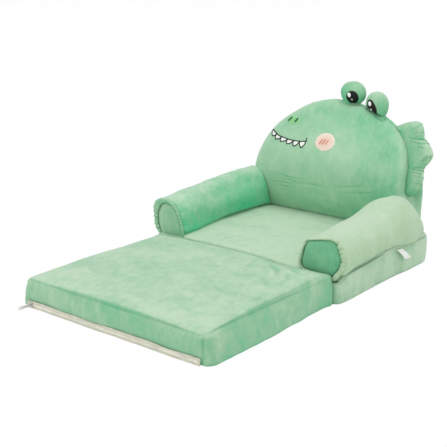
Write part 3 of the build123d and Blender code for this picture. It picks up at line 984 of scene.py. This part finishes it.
# Outlines of the arms' slices: how far along, then across and up in millimetres
arm_slices = {
    "right": [
        (30, (174, 166, 173, 192, 222, 255, 275, 281, 282, 279, 268, 240),
         (67, 92, 127, 144, 150, 145, 125, 104, 85, 72, 65, 65)),
        (60, (172, 164, 171, 190, 222, 255, 275, 281, 282, 279, 268, 240),
         (67, 92, 127, 145, 151, 146, 126, 104, 90, 77, 70, 65)),
        (120, (170, 161, 168, 189, 222, 256, 277, 283, 282, 279, 268, 240),
         (67, 95, 131, 151, 158, 151, 128, 104, 92, 79, 72, 65)),
        (165, (169, 159, 165, 188, 222, 257, 278, 284, 282, 279, 268, 240),
         (67, 97, 133, 153, 159, 152, 129, 106, 95, 82, 75, 65)),
        (205, (167, 157, 163, 186, 222, 259, 280, 285, 282, 279, 268, 240),
         (67, 99, 135, 155, 161, 155, 130, 108, 97, 84, 77, 65)),
        (232, (167, 156, 163, 186, 222, 259, 280, 285, 282, 279, 268, 240),
         (67, 100, 141, 165, 167, 164, 136, 109, 98, 85, 78, 65)),
        (262, (167, 156, 163, 186, 222, 259, 280, 285, 282, 279, 268, 240),
         (67, 100, 145, 172, 179, 171, 140, 109, 93, 80, 73, 65)),
        (300, (168, 157, 164, 187, 222, 258, 279, 284, 282, 279, 268, 240),
         (67, 99, 146, 175, 182, 174, 142, 107, 87, 74, 67, 65)),
        (345, (171, 160, 166, 189, 222, 256, 276, 281, 282, 279, 268, 240),
         (67, 97, 141, 168, 175, 167, 136, 103, 85, 72, 65, 65)),
        (388, (176, 166, 172, 190, 214, 236, 254, 266, 270, 268, 258, 240),
         (67, 96, 132, 153, 152, 144, 128, 108, 90, 76, 68, 65)),
        (425, (182, 176, 182, 198, 216, 236, 250, 257, 257, 250, 236),
         (67, 92, 116, 129, 128, 119, 104, 90, 78, 70, 65)),
    ],
    "left": [
        (50, (-183, -177, -182, -203, -236, -262, -277, -279, -274, -230),
         (66, 92, 132, 160, 168, 155, 129, 100, 73, 65)),
        (80, (-186, -179, -183, -204, -237, -263, -278, -280, -275, -230),
         (66, 92, 135, 164, 172, 159, 131, 100, 73, 65)),
        (106, (-189, -181, -184, -205, -238, -264, -279, -281, -275, -230),
         (66, 92, 135, 164, 171, 158, 130, 100, 73, 65)),
        (133, (-194, -184, -186, -207, -239, -265, -280, -281, -275, -231),
         (66, 91, 134, 163, 171, 158, 130, 100, 73, 65)),
        (161, (-199, -187, -188, -208, -239, -265, -280, -282, -276, -231),
         (66, 91, 136, 166, 175, 162, 131, 100, 73, 65)),
        (189, (-203, -190, -190, -209, -240, -266, -281, -282, -276, -232),
         (66, 90, 137, 169, 178, 164, 132, 100, 73, 65)),
        (230, (-205, -192, -190, -209, -240, -266, -281, -282, -276, -233),
         (66, 90, 137, 169, 179, 165, 132, 100, 73, 65)),
        (277, (-207, -193, -191, -209, -241, -267, -281, -282, -276, -234),
         (66, 90, 138, 172, 182, 167, 133, 100, 73, 65)),
        (320, (-202, -190, -190, -208, -240, -266, -280, -281, -275, -233),
         (66, 91, 139, 172, 183, 167, 133, 100, 73, 65)),
        (360, (-199, -188, -189, -206, -238, -264, -278, -279, -274, -232),
         (66, 93, 140, 172, 185, 168, 133, 99, 73, 65)),
        (388, (-198, -188, -189, -205, -236, -262, -275, -277, -272, -232),
         (67, 95, 138, 167, 180, 164, 131, 98, 72, 65)),
        (425, (-196, -188, -192, -208, -236, -259, -271, -273, -270, -232),
         (67, 92, 128, 154, 164, 150, 124, 96, 73, 65)),
    ],
}


def ring_softened(values, times):
    """Values round a ring, or rows of them, evened out with their neighbours."""
    for _ in range(times):
        values = (np.roll(values, 1, -1) + values * 2 + np.roll(values, -1, -1)) / 4
    return values


def rows_softened(rows):
    """Rows evened out with the ones before and after; the end rows stay."""
    return np.vstack([rows[:1], (rows[:-2] + 2 * rows[1:-1] + rows[2:]) / 4, rows[-1:]])


def polar(points, centre, soft):
    """How far a closed outline lies from a centre in each direction, softened round its corners."""
    points = [Vector((x * MM - centre.x, z * MM - centre.z)) for x, z in points]
    dense = []
    for one, two in zip(points, points[1:] + points[:1]):
        dense += [one.lerp(two, k / 40) for k in range(40)]
    turns = np.array([math.atan2(p.y, p.x) % FULL_TURN for p in dense])
    reach = np.array([p.length for p in dense])
    order = np.argsort(turns)
    wanted = np.arange(lip_turns) * FULL_TURN / lip_turns
    return ring_softened(np.interp(wanted, turns[order], reach[order], period=FULL_TURN), soft)


def arm_middle(side):
    """The middle of an arm's end, a little below half its height."""
    low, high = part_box(f"arm_end_welt_{side}")
    return Vector(((low.x + high.x) / 2, (low.y + high.y) / 2, low.z + (high.z - low.z) * 0.45))


def from_middle(places, centre):
    """Each place across and up from a centre, and its turn round it."""
    x, z = places[:, 0] - centre.x, places[:, 2] - centre.z
    return x, z, np.arctan2(z, x)


def sliced(places, centre, marks):
    """The outline of a long form at each mark along it, as reaches at even turns."""
    x, z, turns = from_middle(places, centre)
    turns = turns % FULL_TURN
    reach = np.hypot(x, z)
    table = []
    for mark in marks:
        part = np.abs(places[:, 1] - mark) < 0.005
        which = np.floor(turns[part] / FULL_TURN * slice_turns).astype(int) % slice_turns
        found = {k: np.percentile(reach[part][which == k], 90) for k in np.unique(which)}
        row = np.interp(np.arange(slice_turns), list(found), list(found.values()), period=slice_turns)
        table.append(ring_softened(row, 2))
    return np.array(table)


def lookup(table, marks, y, turns):
    """Reach at any place along and turn, read between a table's rows and columns."""
    row = np.interp(y, marks, np.arange(len(marks)))
    low = np.minimum(row.astype(int), len(marks) - 2)
    up = row - low
    column = turns / FULL_TURN * slice_turns - 0.5
    left = np.floor(column).astype(int)
    over = column - left
    left, right = left % slice_turns, (left + 1) % slice_turns
    one = table[low, left] * (1 - over) + table[low, right] * over
    two = table[low + 1, left] * (1 - over) + table[low + 1, right] * over
    return one * (1 - up) + two * up


def arm(side, material, light, soft, seed):
    """An arm swollen as cloth, then fitted to the outlines of its slices."""
    obj = even_mesh(f"arm_{side}", f"arm_filling_{side}", CUSHION_VOXEL)
    inner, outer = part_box(f"arm_filling_{side}")
    panel_low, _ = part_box(f"arm_end_panel_{side}")
    places, _ = raw(obj.data)
    ring = [Vector(p) for p in places[(places[:, 1] < inner.y + 0.012) & (places[:, 1] > inner.y + 0.001)]]
    puff(obj, ring, 0.0030, 0.006)
    finer(obj)
    centre = arm_middle(side)
    places, _ = raw(obj.data)
    marks = np.linspace(inner.y + 0.006, outer.y - 0.012, 48)
    have = sliced(places, centre, marks)
    lip_turn = np.arange(lip_turns) * FULL_TURN / lip_turns
    slice_turn = (np.arange(slice_turns) + 0.5) * FULL_TURN / slice_turns
    stations = [inner.y]
    outlines = [lip_marks[side]]
    for along, across, up in arm_slices[side]:
        stations.append(along * MM + fold)
        outlines.append(list(zip(across, up)))
    reaches = [polar(outline, centre, soft) for outline in outlines]
    drawn = np.array([np.interp(slice_turn, lip_turn, reach, period=FULL_TURN) for reach in reaches])
    want = np.array([[np.interp(mark, stations, column) for column in drawn.T] for mark in marks])
    for _ in range(3):
        want = rows_softened(want)
    ratio = np.clip(want / have, 0.72, 1.30)
    for _ in range(3):
        ratio = rows_softened(ring_softened(ratio, 1))
    x, z, turns = from_middle(places, centre)
    scale = lookup(ratio, marks, places[:, 1], turns % FULL_TURN)
    places[:, 0] = centre.x + x * scale
    places[:, 2] = centre.z + z * scale
    put(obj.data, places)
    lumps(obj, 0.09, 0.0016, seed)
    lumps(obj, 0.025, 0.0005, seed + 4)
    # Gathers behind the lip
    places, normals = raw(obj.data)
    _, _, turns = from_middle(places, centre)
    behind = np.maximum(places[:, 1] - inner.y, 0)
    wave = np.sin(turns * 23 + 3 * np.sin(turns * 4 + seed)) * np.exp(-behind / 0.012)
    uneven = 0.5 + 0.5 * field(places * np.array([1, 0.2, 1]), 30, seed + 9, 1)
    side_wall = 1 - between(-normals[:, 1], 0.5, 0.8)
    places = places + normals * (0.0014 * wave * uneven * side_wall)[:, None]
    places[:, 1] -= (inner.y - panel_low.y - 0.0005) * (1 - between(behind, 0.0, 0.02))
    put(obj.data, places)
    # Painted shade along the right arm's underside where it meets the base
    dark = ()
    if side == "right":
        dark = [(snapped(obj, arm_line), 0.0024, 0.9), (snapped(obj, arm_line_rear), 0.0018, 0.5)]
    shade(obj, light(*raw(obj.data)), dark=dark)
    done(obj, "sofa", "plush", material, f"arm_cover_{side}", f"arm_filling_{side}", fill=0.8)


# Painted light: its top a little paler; painted shade on its inner side, deeper towards the rear and the foot
def left_light(places, normals):
    upper = between(normals[:, 2], 0.35, 0.9)
    inward = between(normals[:, 0], 0.2, 0.9)
    rear = between(places[:, 1], 0.10, 0.36)
    low = 1 - between(places[:, 2], 0.075, 0.125)
    return 0.02 * upper - (0.10 + 0.14 * rear + 0.14 * low) * inward


def right_light(places, normals):
    front = 1 - between(places[:, 1], 0.02, 0.16)
    return 0.16 - 0.06 * front - 0.06 * between(normals[:, 0], 0.4, 0.95)


arm("left", plush_left_shaded, left_light, 16, 31)
arm("right", plush_pale, right_light, 8, 37)


def arm_end(side, seed, lip_material, material, light, edge_shade):
    """The sewn lip round an arm's end, a tight welt with small gathers, and the panel inside it, with painted
    shade round the panel's edge under the lip.
    """
    centre = arm_middle(side)
    reach = polar(lip_marks[side], centre, 3)
    within = polar(panel_marks[side], centre, 2)
    low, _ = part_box(f"arm_end_panel_{side}")
    turns = [FULL_TURN * k / lip_turns for k in range(lip_turns)]
    gathered = -0.5 if side == "left" else 0.5

    def spot(turn, out, proud):
        return Vector((centre.x + math.cos(turn) * out, low.y - proud, centre.z + math.sin(turn) * out))

    path = []
    radii = []
    for turn, distance, inner in zip(turns, reach, within):
        x, z = math.cos(turn), math.sin(turn)
        ruffle = noise.noise(Vector((3 * x + seed, 3 * z, seed)))
        fine = noise.noise(Vector((14 * x + seed, 14 * z, seed * 2)))
        outward = 0.5 + gathered * x
        half = max((distance - inner) / 2, 0.0014)
        path.append(spot(
            turn, distance - half + 0.0006 * ruffle + 0.0008 * fine,
            0.0030 + 0.0016 * fine * outward + 0.0014 * ruffle,
        ))
        rib = math.sin(turn * 31 + 4 * ruffle) * outward * 0.0008
        radii.append((0.0036 + 0.0014 * fine + rib, half + 0.0006 + 0.0008 * fine * outward + rib))
    lip = tube(f"arm_lip_{side}", path, radii, 12, closed=True)
    finer(lip)
    lumps(lip, 0.006, 0.0004, seed)
    shade(lip, 0.04)
    done(lip, "sofa", "plush", lip_material, f"arm_end_welt_{side}")
    rings = 20
    places = [spot(0, 0, 0.0050)]
    for ring in range(1, rings + 1):
        share = ring / rings
        proud = 0.0050 * (1 - share ** 6) - 0.0004
        places += [spot(turn, (inner + 0.0008) * share, proud) for turn, inner in zip(turns, within)]
    panel = thickened(from_data(f"arm_panel_{side}", places, disc_faces(lip_turns, rings)), 0.0015)
    smooth(panel)
    lumps(panel, 0.04, 0.0010, seed + 5)
    # Painted shade round the panel's edge, where it tucks under the lip
    edge = [spot(turn, inner - 0.0004, 0.001) for turn, inner in zip(turns, within)]
    shade(panel, light, edge, [(edge, 0.0026, edge_shade)])
    done(panel, "sofa", "plush_deep", material, f"arm_end_panel_{side}")


arm_end("left", 5, plush_main, plush_main, 0.16, 0.6)
arm_end("right", 9, plush_pale, plush_dark, 0.0, 0.9)


# Eyes

backrest_tree = tree_of(backrest)
eye_depth = 0.024


def front_surface(x, z):
    """Where the backrest's front is at a place across and up; past its edge, the nearest place on it."""
    hit, normal, _, _ = backrest_tree.ray_cast(Vector((x, back_low.y - 0.2, z)), REARWARD)
    if hit is None:
        hit, normal, _, _ = backrest_tree.find_nearest(Vector((x, (back_low.y + back_high.y) / 2, z)))
    return hit, normal


# Half width, half height, shift across and up, how much longer the part under the middle is, then how much
# paler or deeper it is painted and how much painted shade darkens its edge at the seam
eye_shapes = {
    "left": (0.0355, 0.030, 0.003, 0.002, 1.06, -0.12, 0.6),
    "right": (0.031, 0.033, 0.006, -0.006, 1.30, 0.06, 1.0),
}
eyes = {}


def cut_by_seam(places, depth):
    """The height under which an eye's front lies tucked behind the seam, fading out past its middle."""
    heights = np.full(len(places), -1.0)
    for ends in zip(eye_seam_marks[1:], eye_seam_marks[2:]):
        one, two = (
            Vector((x * MM, eye_seam_depth * MM + fold, (z + 2) * MM)) - camera_place
            for x, z in ends
        )
        across = one.cross(two)
        local = places - np.array(camera_place)
        height = camera_place.z - (across.x * local[:, 0] + across.y * local[:, 1]) / across.z
        share = local[:, 0] / local[:, 1]
        inside = (share >= one.x / one.y - 1e-4) & (share <= two.x / two.y + 1e-4)
        heights = np.where(inside, height, heights)
    fade = between(places[:, 1], depth + 0.002, depth + 0.014)
    return heights - 0.05 * fade


for side, (wide, tall, shift_x, shift_z, foot, tone, edge_shade) in eye_shapes.items():
    low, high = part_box(f"eye_{side}")
    centre = Vector(((low.x + high.x) / 2, low.y + eye_depth, high.z - (high.x - low.x) / 2))
    centre += Vector((shift_x, 0, shift_z))
    work = bmesh.new()
    bmesh.ops.create_icosphere(work, subdivisions=5, radius=1.0)
    obj = from_work(f"eye_bump_{side}", work)
    places, _ = raw(obj.data)
    seam_dip = 1 - 0.035 * near(places[:, 1], 0.10)
    places[:, 2] *= np.where(places[:, 2] < 0, foot, 1.0)
    places = places * np.array([wide, eye_depth, tall]) * seam_dip[:, None] + np.array(centre)
    cut = cut_by_seam(places, centre.y)
    tucked = [Vector(p) for p in places[(places[:, 2] < cut + 0.0006) & (places[:, 1] < centre.y)]]
    places[:, 2] = np.maximum(places[:, 2], cut)
    put(obj.data, places)
    lumps(obj, 0.035, 0.0009, 51)
    # Painted shade along the eye's edge where it tucks behind the seam
    edge = [Vector((p.x, p.y, max(p.z, z))) for p, z in zip(tucked, cut_by_seam(np.array(tucked), centre.y))]
    shade(obj, tone, dark=[(edge, 0.0022, edge_shade)])
    done(obj, "sofa", "plush", plush_main, f"eye_{side}", fill=0.85)
    eyes[side] = (obj, centre)


def patch(name, outline, surface, lift, thickness, rings=8):
    """A thin sewn-on patch: an outline of (x, z) points laid on a surface that faces forward."""
    middle = sum((Vector((x, 0, z)) for x, z in outline), Vector()) / len(outline)
    count = len(outline)
    upper = []
    lower = []
    for ring in range(rings + 1):
        share = ring / rings
        crown = math.sqrt(max(0.0, 1 - share ** 4))
        for x, z in outline if ring else outline[:1]:
            place, normal = surface(middle.x + (x - middle.x) * share, middle.z + (z - middle.z) * share)
            upper.append(place + normal * (lift + thickness * crown))
            lower.append(place + normal * (lift - 0.0008))
    outer = 1 + (rings - 1) * count
    under = len(upper)
    faces = disc_faces(count, rings) + band(outer, under, count)
    faces.append(tuple(under + k for k in range(count)))
    return from_data(name, upper + lower[outer:], faces)


def joined(name, pieces):
    """Several small pieces as one object."""
    work = bmesh.new()
    for piece in pieces:
        work.from_mesh(piece.data)
    for piece in pieces:
        bpy.data.objects.remove(piece)
    return from_work(name, work)


def oval(x, z, wide, high, lean=0.0):
    points = []
    along, aside = math.cos(lean), math.sin(lean)
    for k in range(40):
        turn = FULL_TURN * k / 40
        a = wide / 2 * math.cos(turn)
        b = high / 2 * math.sin(turn)
        points.append((x + a * along - b * aside, z + a * aside + b * along))
    return points


# Across and up from each eye's middle, width, height and lean of its pupil, then its highlight's place
pupil_shapes = {
    "left": (0.009, -0.008, 0.032, 0.033, -0.5, -0.0065, 0.0055),
    "right": (-0.003, -0.005, 0.024, 0.042, 0.50, -0.0045, 0.0085),
}
pupils = []
highlights = []
for side, (across, up, wide, tall, lean, spot_x, spot_z) in pupil_shapes.items():
    obj, centre = eyes[side]
    eye_tree = tree_of(obj)
    x, z = centre.x + across, centre.z + up

    def eye_surface(x, z):
        return eye_tree.ray_cast(Vector((x, 0, z)), REARWARD)[:2]

    spot = oval(x + spot_x, z + spot_z, 0.0085, 0.0115, 0.3)
    glint = oval(x - spot_x * 0.1, z - 0.0050, 0.0042, 0.0024, -0.5)
    pupils.append(patch("pupil", oval(x, z, wide, tall, lean), eye_surface, 0.0004, 0.0012))
    highlights.append(patch("spot", spot, eye_surface, 0.0018, 0.0006, 4))
    highlights.append(patch("glint", glint, eye_surface, 0.0018, 0.0003, 3))
done(joined("pupils", pupils), "sofa", "black_felt", black_felt, "eye_patches")
done(joined("highlights", highlights), "sofa", "white_felt", white_felt, "eye_highlights")


# Face on the backrest, in millimetres across and up

mouth_points = [(-191, 282), (-172, 275), (-162, 271), (-138, 268), (-114, 266), (-89, 267), (-65, 270)]
tick_top = (-67, 278)
tooth_tips = [(-185, 267), (-171, 261), (-151, 258), (-127, 255), (-102, 253), (-76, 253)]


def curve_through(points, count):
    """Evenly spaced points of a smooth line through the given ones."""
    marks = [Vector((x, 0, z)) for x, z in points]
    spline = []
    for i in range(len(marks) - 1):
        one, two = marks[i], marks[i + 1]
        before = marks[i - 1] if i else one * 2 - two
        after = marks[i + 2] if i + 2 < len(marks) else two * 2 - one
        for k in range(20):
            t = k / 20
            spline.append(0.5 * (
                2 * one + (two - before) * t + (2 * before - 5 * one + 4 * two - after) * t * t
                + (3 * one - before - 3 * two + after) * t ** 3
            ))
    spline.append(marks[-1])
    lengths = [0.0]
    for one, two in zip(spline, spline[1:]):
        lengths.append(lengths[-1] + (two - one).length)
    wanted = np.linspace(0, lengths[-1], count)
    return [
        (np.interp(w, lengths, [p.x for p in spline]), np.interp(w, lengths, [p.z for p in spline]))
        for w in wanted
    ]


def line_on_front(name, points, radius, lift=0.0006):
    """A line of stitches just in front of the backrest."""
    path = []
    for x, z in points:
        hit, normal = front_surface(x * MM, z * MM)
        path.append(hit + normal * lift)
    return tube(name, path, radius, 8)


def short_stitches(name, runs, radius, lift):
    """Straight stitches as one piece: each from and to, across and up in millimetres."""
    return joined(name, [line_on_front("stitch", curve_through(run, 8), radius, lift) for run in runs])


mouth = curve_through(mouth_points, 80)
lines = [line_on_front("mouth", mouth, 0.0015)]
lines.append(line_on_front("tick", curve_through([mouth_points[-1], tick_top], 8), 0.0012))
teeth = []
for tooth, tip in enumerate(tooth_tips):
    first, last = (round(k * (len(mouth) - 1) / len(tooth_tips)) for k in (tooth, tooth + 1))
    start, end = mouth[first], mouth[last]
    one = curve_through([start, ((start[0] + tip[0]) / 2 - 2.2, (start[1] + tip[1]) / 2 - 1.5), tip], 14)
    two = curve_through([tip, ((end[0] + tip[0]) / 2 + 1.2, (end[1] + tip[1]) / 2 - 2.2), end], 14)
    outline = one + two[1:]
    lines.append(line_on_front(f"tooth_line{tooth}", outline, 0.0013))
    loop = [(x * MM, z * MM) for x, z in outline + mouth[first + 1:last][::-1]]
    teeth.append(patch(f"tooth{tooth}", loop, front_surface, 0.0002, 0.0007, 3))
done(joined("mouth_and_outlines", lines), "sofa", "dark_thread", dark_thread, "mouth_line")
done(joined("tooth_row", teeth), "sofa", "white_felt", white_felt, "teeth")


def disc(name, middle, size, lift, thickness, rings, start):
    """A felt oval on the backrest, which stores how near each place is to its rim, from 0 to 1."""
    obj = patch(name, oval(*middle, *size), front_surface, lift, thickness, rings)
    places, _ = raw(obj.data)
    out = np.hypot((places[:, 0] - middle[0]) / (size[0] / 2), (places[:, 2] - middle[1]) / (size[1] / 2))
    store(obj, "rim", between(out, start, 1.0))
    return obj


cheek = disc("cheek", (-0.0085, 0.2755), (0.058, 0.043), 0.0003, 0.0010, 12, 0.45)
done(cheek, "sofa", "pink_felt", pink_felt, "cheek_patch")
cheek_runs = (((-23, 269), (-16, 281)), ((-14, 269), (-8, 282)), ((-5, 270), (1, 281)))
cheek_marks = short_stitches("cheek_marks", cheek_runs, 0.0012, 0.0018)
done(cheek_marks, "sofa", "orange_thread", orange_thread, "cheek_strokes")

nose = disc("nose", (-0.130, 0.314), (0.046, 0.022), 0.0002, 0.0006, 8, 0.40)
done(nose, "sofa", "light_patch", light_patch, "nostril_patch")
nostril_runs = (((-145, 310), (-137, 320)), ((-123, 310), (-116, 320)))
nostril_marks = short_stitches("nostril_marks", nostril_runs, 0.0025, 0.0014)
done(nostril_marks, "sofa", "green_thread", green_thread, "nostrils")


# Crest

# Short gathers: across, up, the way they run and how long they are
crest_gathers = [
    (0.232, 0.304, 3.15, 0.038), (0.244, 0.229, 3.10, 0.036), (0.243, 0.222, 3.0, 0.020),
    (0.262, 0.262, 3.6, 0.026), (0.240, 0.303, 3.1, 0.040), (0.248, 0.296, 3.3, 0.030),
    (0.250, 0.236, 3.2, 0.042), (0.252, 0.228, 3.0, 0.028), (0.268, 0.268, 3.5, 0.024),
    (0.266, 0.256, 3.3, 0.020), (0.256, 0.212, 3.1, 0.022), (0.222, 0.338, 4.2, 0.022),
    (0.256, 0.196, 3.0, 0.018), (0.236, 0.322, 3.5, 0.020),
]

crest = even_mesh("crest_lobes", "crest", CREST_VOXEL)
finer(crest)
crest_low, crest_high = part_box("crest")
places, normals = raw(crest.data)
x, y, z = places.T
facing = np.abs(normals[:, 1]) > 0.8
slope = np.polyfit(z[facing], y[facing], 1)
plane_y = np.polyval(slope, z)
offset = y - plane_y
half_thick = np.percentile(np.abs(offset[facing]), 95)
# How far each place is in from the outer edge, from 0 to 1 at the inner one, level by level
step = 0.004
levels = np.arange(crest_low.z, crest_high.z + step, step)
level = np.clip(((z - crest_low.z) / step).astype(int), 0, len(levels) - 1)
known = np.unique(level)
rows = [x[level == k] for k in known]
inner_at = np.interp(z, levels[known] + step / 2, [row.min() for row in rows])
outer_at = np.interp(z, levels[known] + step / 2, [row.max() for row in rows])
inward = np.clip((outer_at - x) / (outer_at - inner_at), 0, 1)
# Full in the middle and thin at the rim
flat = np.array([1, 0, 1])
inside = away(places * flat, places[np.abs(offset) < half_thick * 0.35] * flat)
round_off = np.sqrt(np.clip(1 - (1 - np.clip(inside / 0.020, 0, 1)) ** 2, 0, 1))
y[:] = plane_y + offset * (0.18 + 0.95 * round_off)
# Its inner edge reaches in to the front panel's seam
x -= (np.interp(z, *panel_draw) * MM + 0.006) * inward
foot = 1 - between(z, crest_low.z, crest_low.z + 0.035)
z -= 0.009 * foot * between(inward, 0.0, 0.35)
# Points along each gather, where painted shade will lie
crest_gather_shade_points = []
for at_x, at_z, turn, long in crest_gathers:
    run_x, run_z = math.cos(turn), math.sin(turn)
    along = (x - at_x) * run_x + (z - at_z) * run_z
    aside = np.abs((x - at_x) * run_z - (z - at_z) * run_x)
    fade = np.clip(1 - along / long, 0, 1) * (along > -0.004)
    y -= np.sign(offset) * 0.0030 * fade * near(aside, 0.0022)
    reaches = [long * 0.7 * k / 12 for k in range(13)]
    crest_gather_shade_points += [Vector((at_x + run_x * reach, crest_low.y, at_z + run_z * reach)) for reach in reaches]
# Its lower lobe narrows towards its foot
x -= 0.006 * (1 - between(z, 0.215, 0.245)) * (1 - between(inward, 0.2, 0.9))
put(crest.data, places)
lumps(crest, 0.03, 0.0010, 61)
crest_gather_shade = snapped(crest, crest_gather_shade_points, 0.08)
crest_rim = [Vector(p) for p in places[inward > 0.97]]
# Painted light towards its outer part; painted shade in the gathers and along its inner rim at the front
# panel
light = -0.14 + 0.26 * between(raw(crest.data)[0][:, 0], 0.215, 0.258)
shade(crest, light, dark=[(crest_gather_shade, 0.0016, 0.35), (crest_rim, 0.0032, 0.55)])
done(crest, "sofa", "plush", plush_main, "crest", fill=0.7)


# Label

# Its four corners on the side of the base, along and up in millimetres
label_corners = ((246, 74), (271, 72), (314, 38), (282, 42))
label_rows, label_columns = 16, 10
near_left, near_right, far_right, far_left = (Vector((0, y * MM + fold, z * MM)) for y, z in label_corners)


def label_place(row, column):
    along, across = row / label_rows, column / label_columns
    spot = near_left.lerp(near_right, across).lerp(far_left.lerp(far_right, across), along)
    bow = 0.0045 * math.sin(along * 2.6) + 0.0008 * math.sin(across * 6 + along * 2)
    return base_high.x + 0.0030 + bow, spot.y, spot.z


label = thickened(grid("label", label_rows, label_columns, label_place), 0.0009, -1)
finer(label)
done(label, "sofa", "satin", satin, "side_label")


# Undersides and the fold

def under(name, node, body, cushion_name, margins):
    """The cloth under a cushion, from the CAD sheet, drawn in from the rim by its margins."""
    obj = new_object(name, frame["nodes"][node].data.copy())
    even = obj.modifiers.new("even", "SUBSURF")
    even.subdivision_type = "SIMPLE"
    even.levels = 2
    baked(obj)
    low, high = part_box(node)
    left, right, front, rear = margins
    places, _ = raw(obj.data)
    for axis, one, two in ((0, left, right), (1, front, rear)):
        share = (places[:, axis] - low[axis]) / (high[axis] - low[axis])
        places[:, axis] = low[axis] + one + share * (high[axis] - low[axis] - one - two)
    put(obj.data, places)
    done(obj, body, "sheet_cloth", under_cloth, node)


under("base_underside", "base_bottom_panel", "sofa", "base", (0.010, 0.010, 0, 0.010))
under("pad_underside", "pad_bottom_panel", "flip_pad", "pad", (0.010, 0.010, 0.0005, 0))

low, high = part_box("hinge_strip")
strip_rows, strip_columns = 24, 39
strip_x = np.linspace(low.x, high.x, strip_columns + 1)


def strip_place(row, column):
    return strip_x[column], low.y + (high.y - low.y) * row / strip_rows, (low.z + high.z) / 2


strip = thickened(grid("fold_strip", strip_rows, strip_columns, strip_place), 0.0010)
strip.data.materials.append(under_cloth)
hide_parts("hinge_strip")
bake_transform(strip)


# Zip: its two tapes as one wavy woven strip, and the hard parts as they are

tape_low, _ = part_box("zipper_tape_lower")
tape_columns, tape_rows = 160, 6


def tape_place(column, row):
    x = tape_low.x - 0.004 + (tape_high.x - tape_low.x + 0.010) * column / tape_columns
    up = row / tape_rows
    swing = 0.0010 * math.sin(x * 27) + 0.0006 * math.sin(x * 61 + 1)
    z = tape_low.z - 0.0006 + (tape_high.z - tape_low.z + 0.0006) * up + swing * (0.3 + 0.7 * up)
    return x, tape_high.y - 0.0006 + 0.0003 * math.sin(x * 90 + up * 3), z


tape = thickened(grid("zip_tape", tape_columns, tape_rows, tape_place), 0.0006)
smooth(tape)
done(tape, "flip_pad", "tape", tape_weave, "zipper_tape_lower", "zipper_tape_upper")

for node, material in (
    ("zipper_chain", zip_plastic), ("zipper_stops", zip_plastic), ("zipper_slider", slider_paint),
    ("zipper_pull", pull_plastic),
):
    obj = frame["nodes"][node]
    for slot in obj.material_slots:
        slot.material = material
    if not obj.material_slots:
        obj.data.materials.append(material)
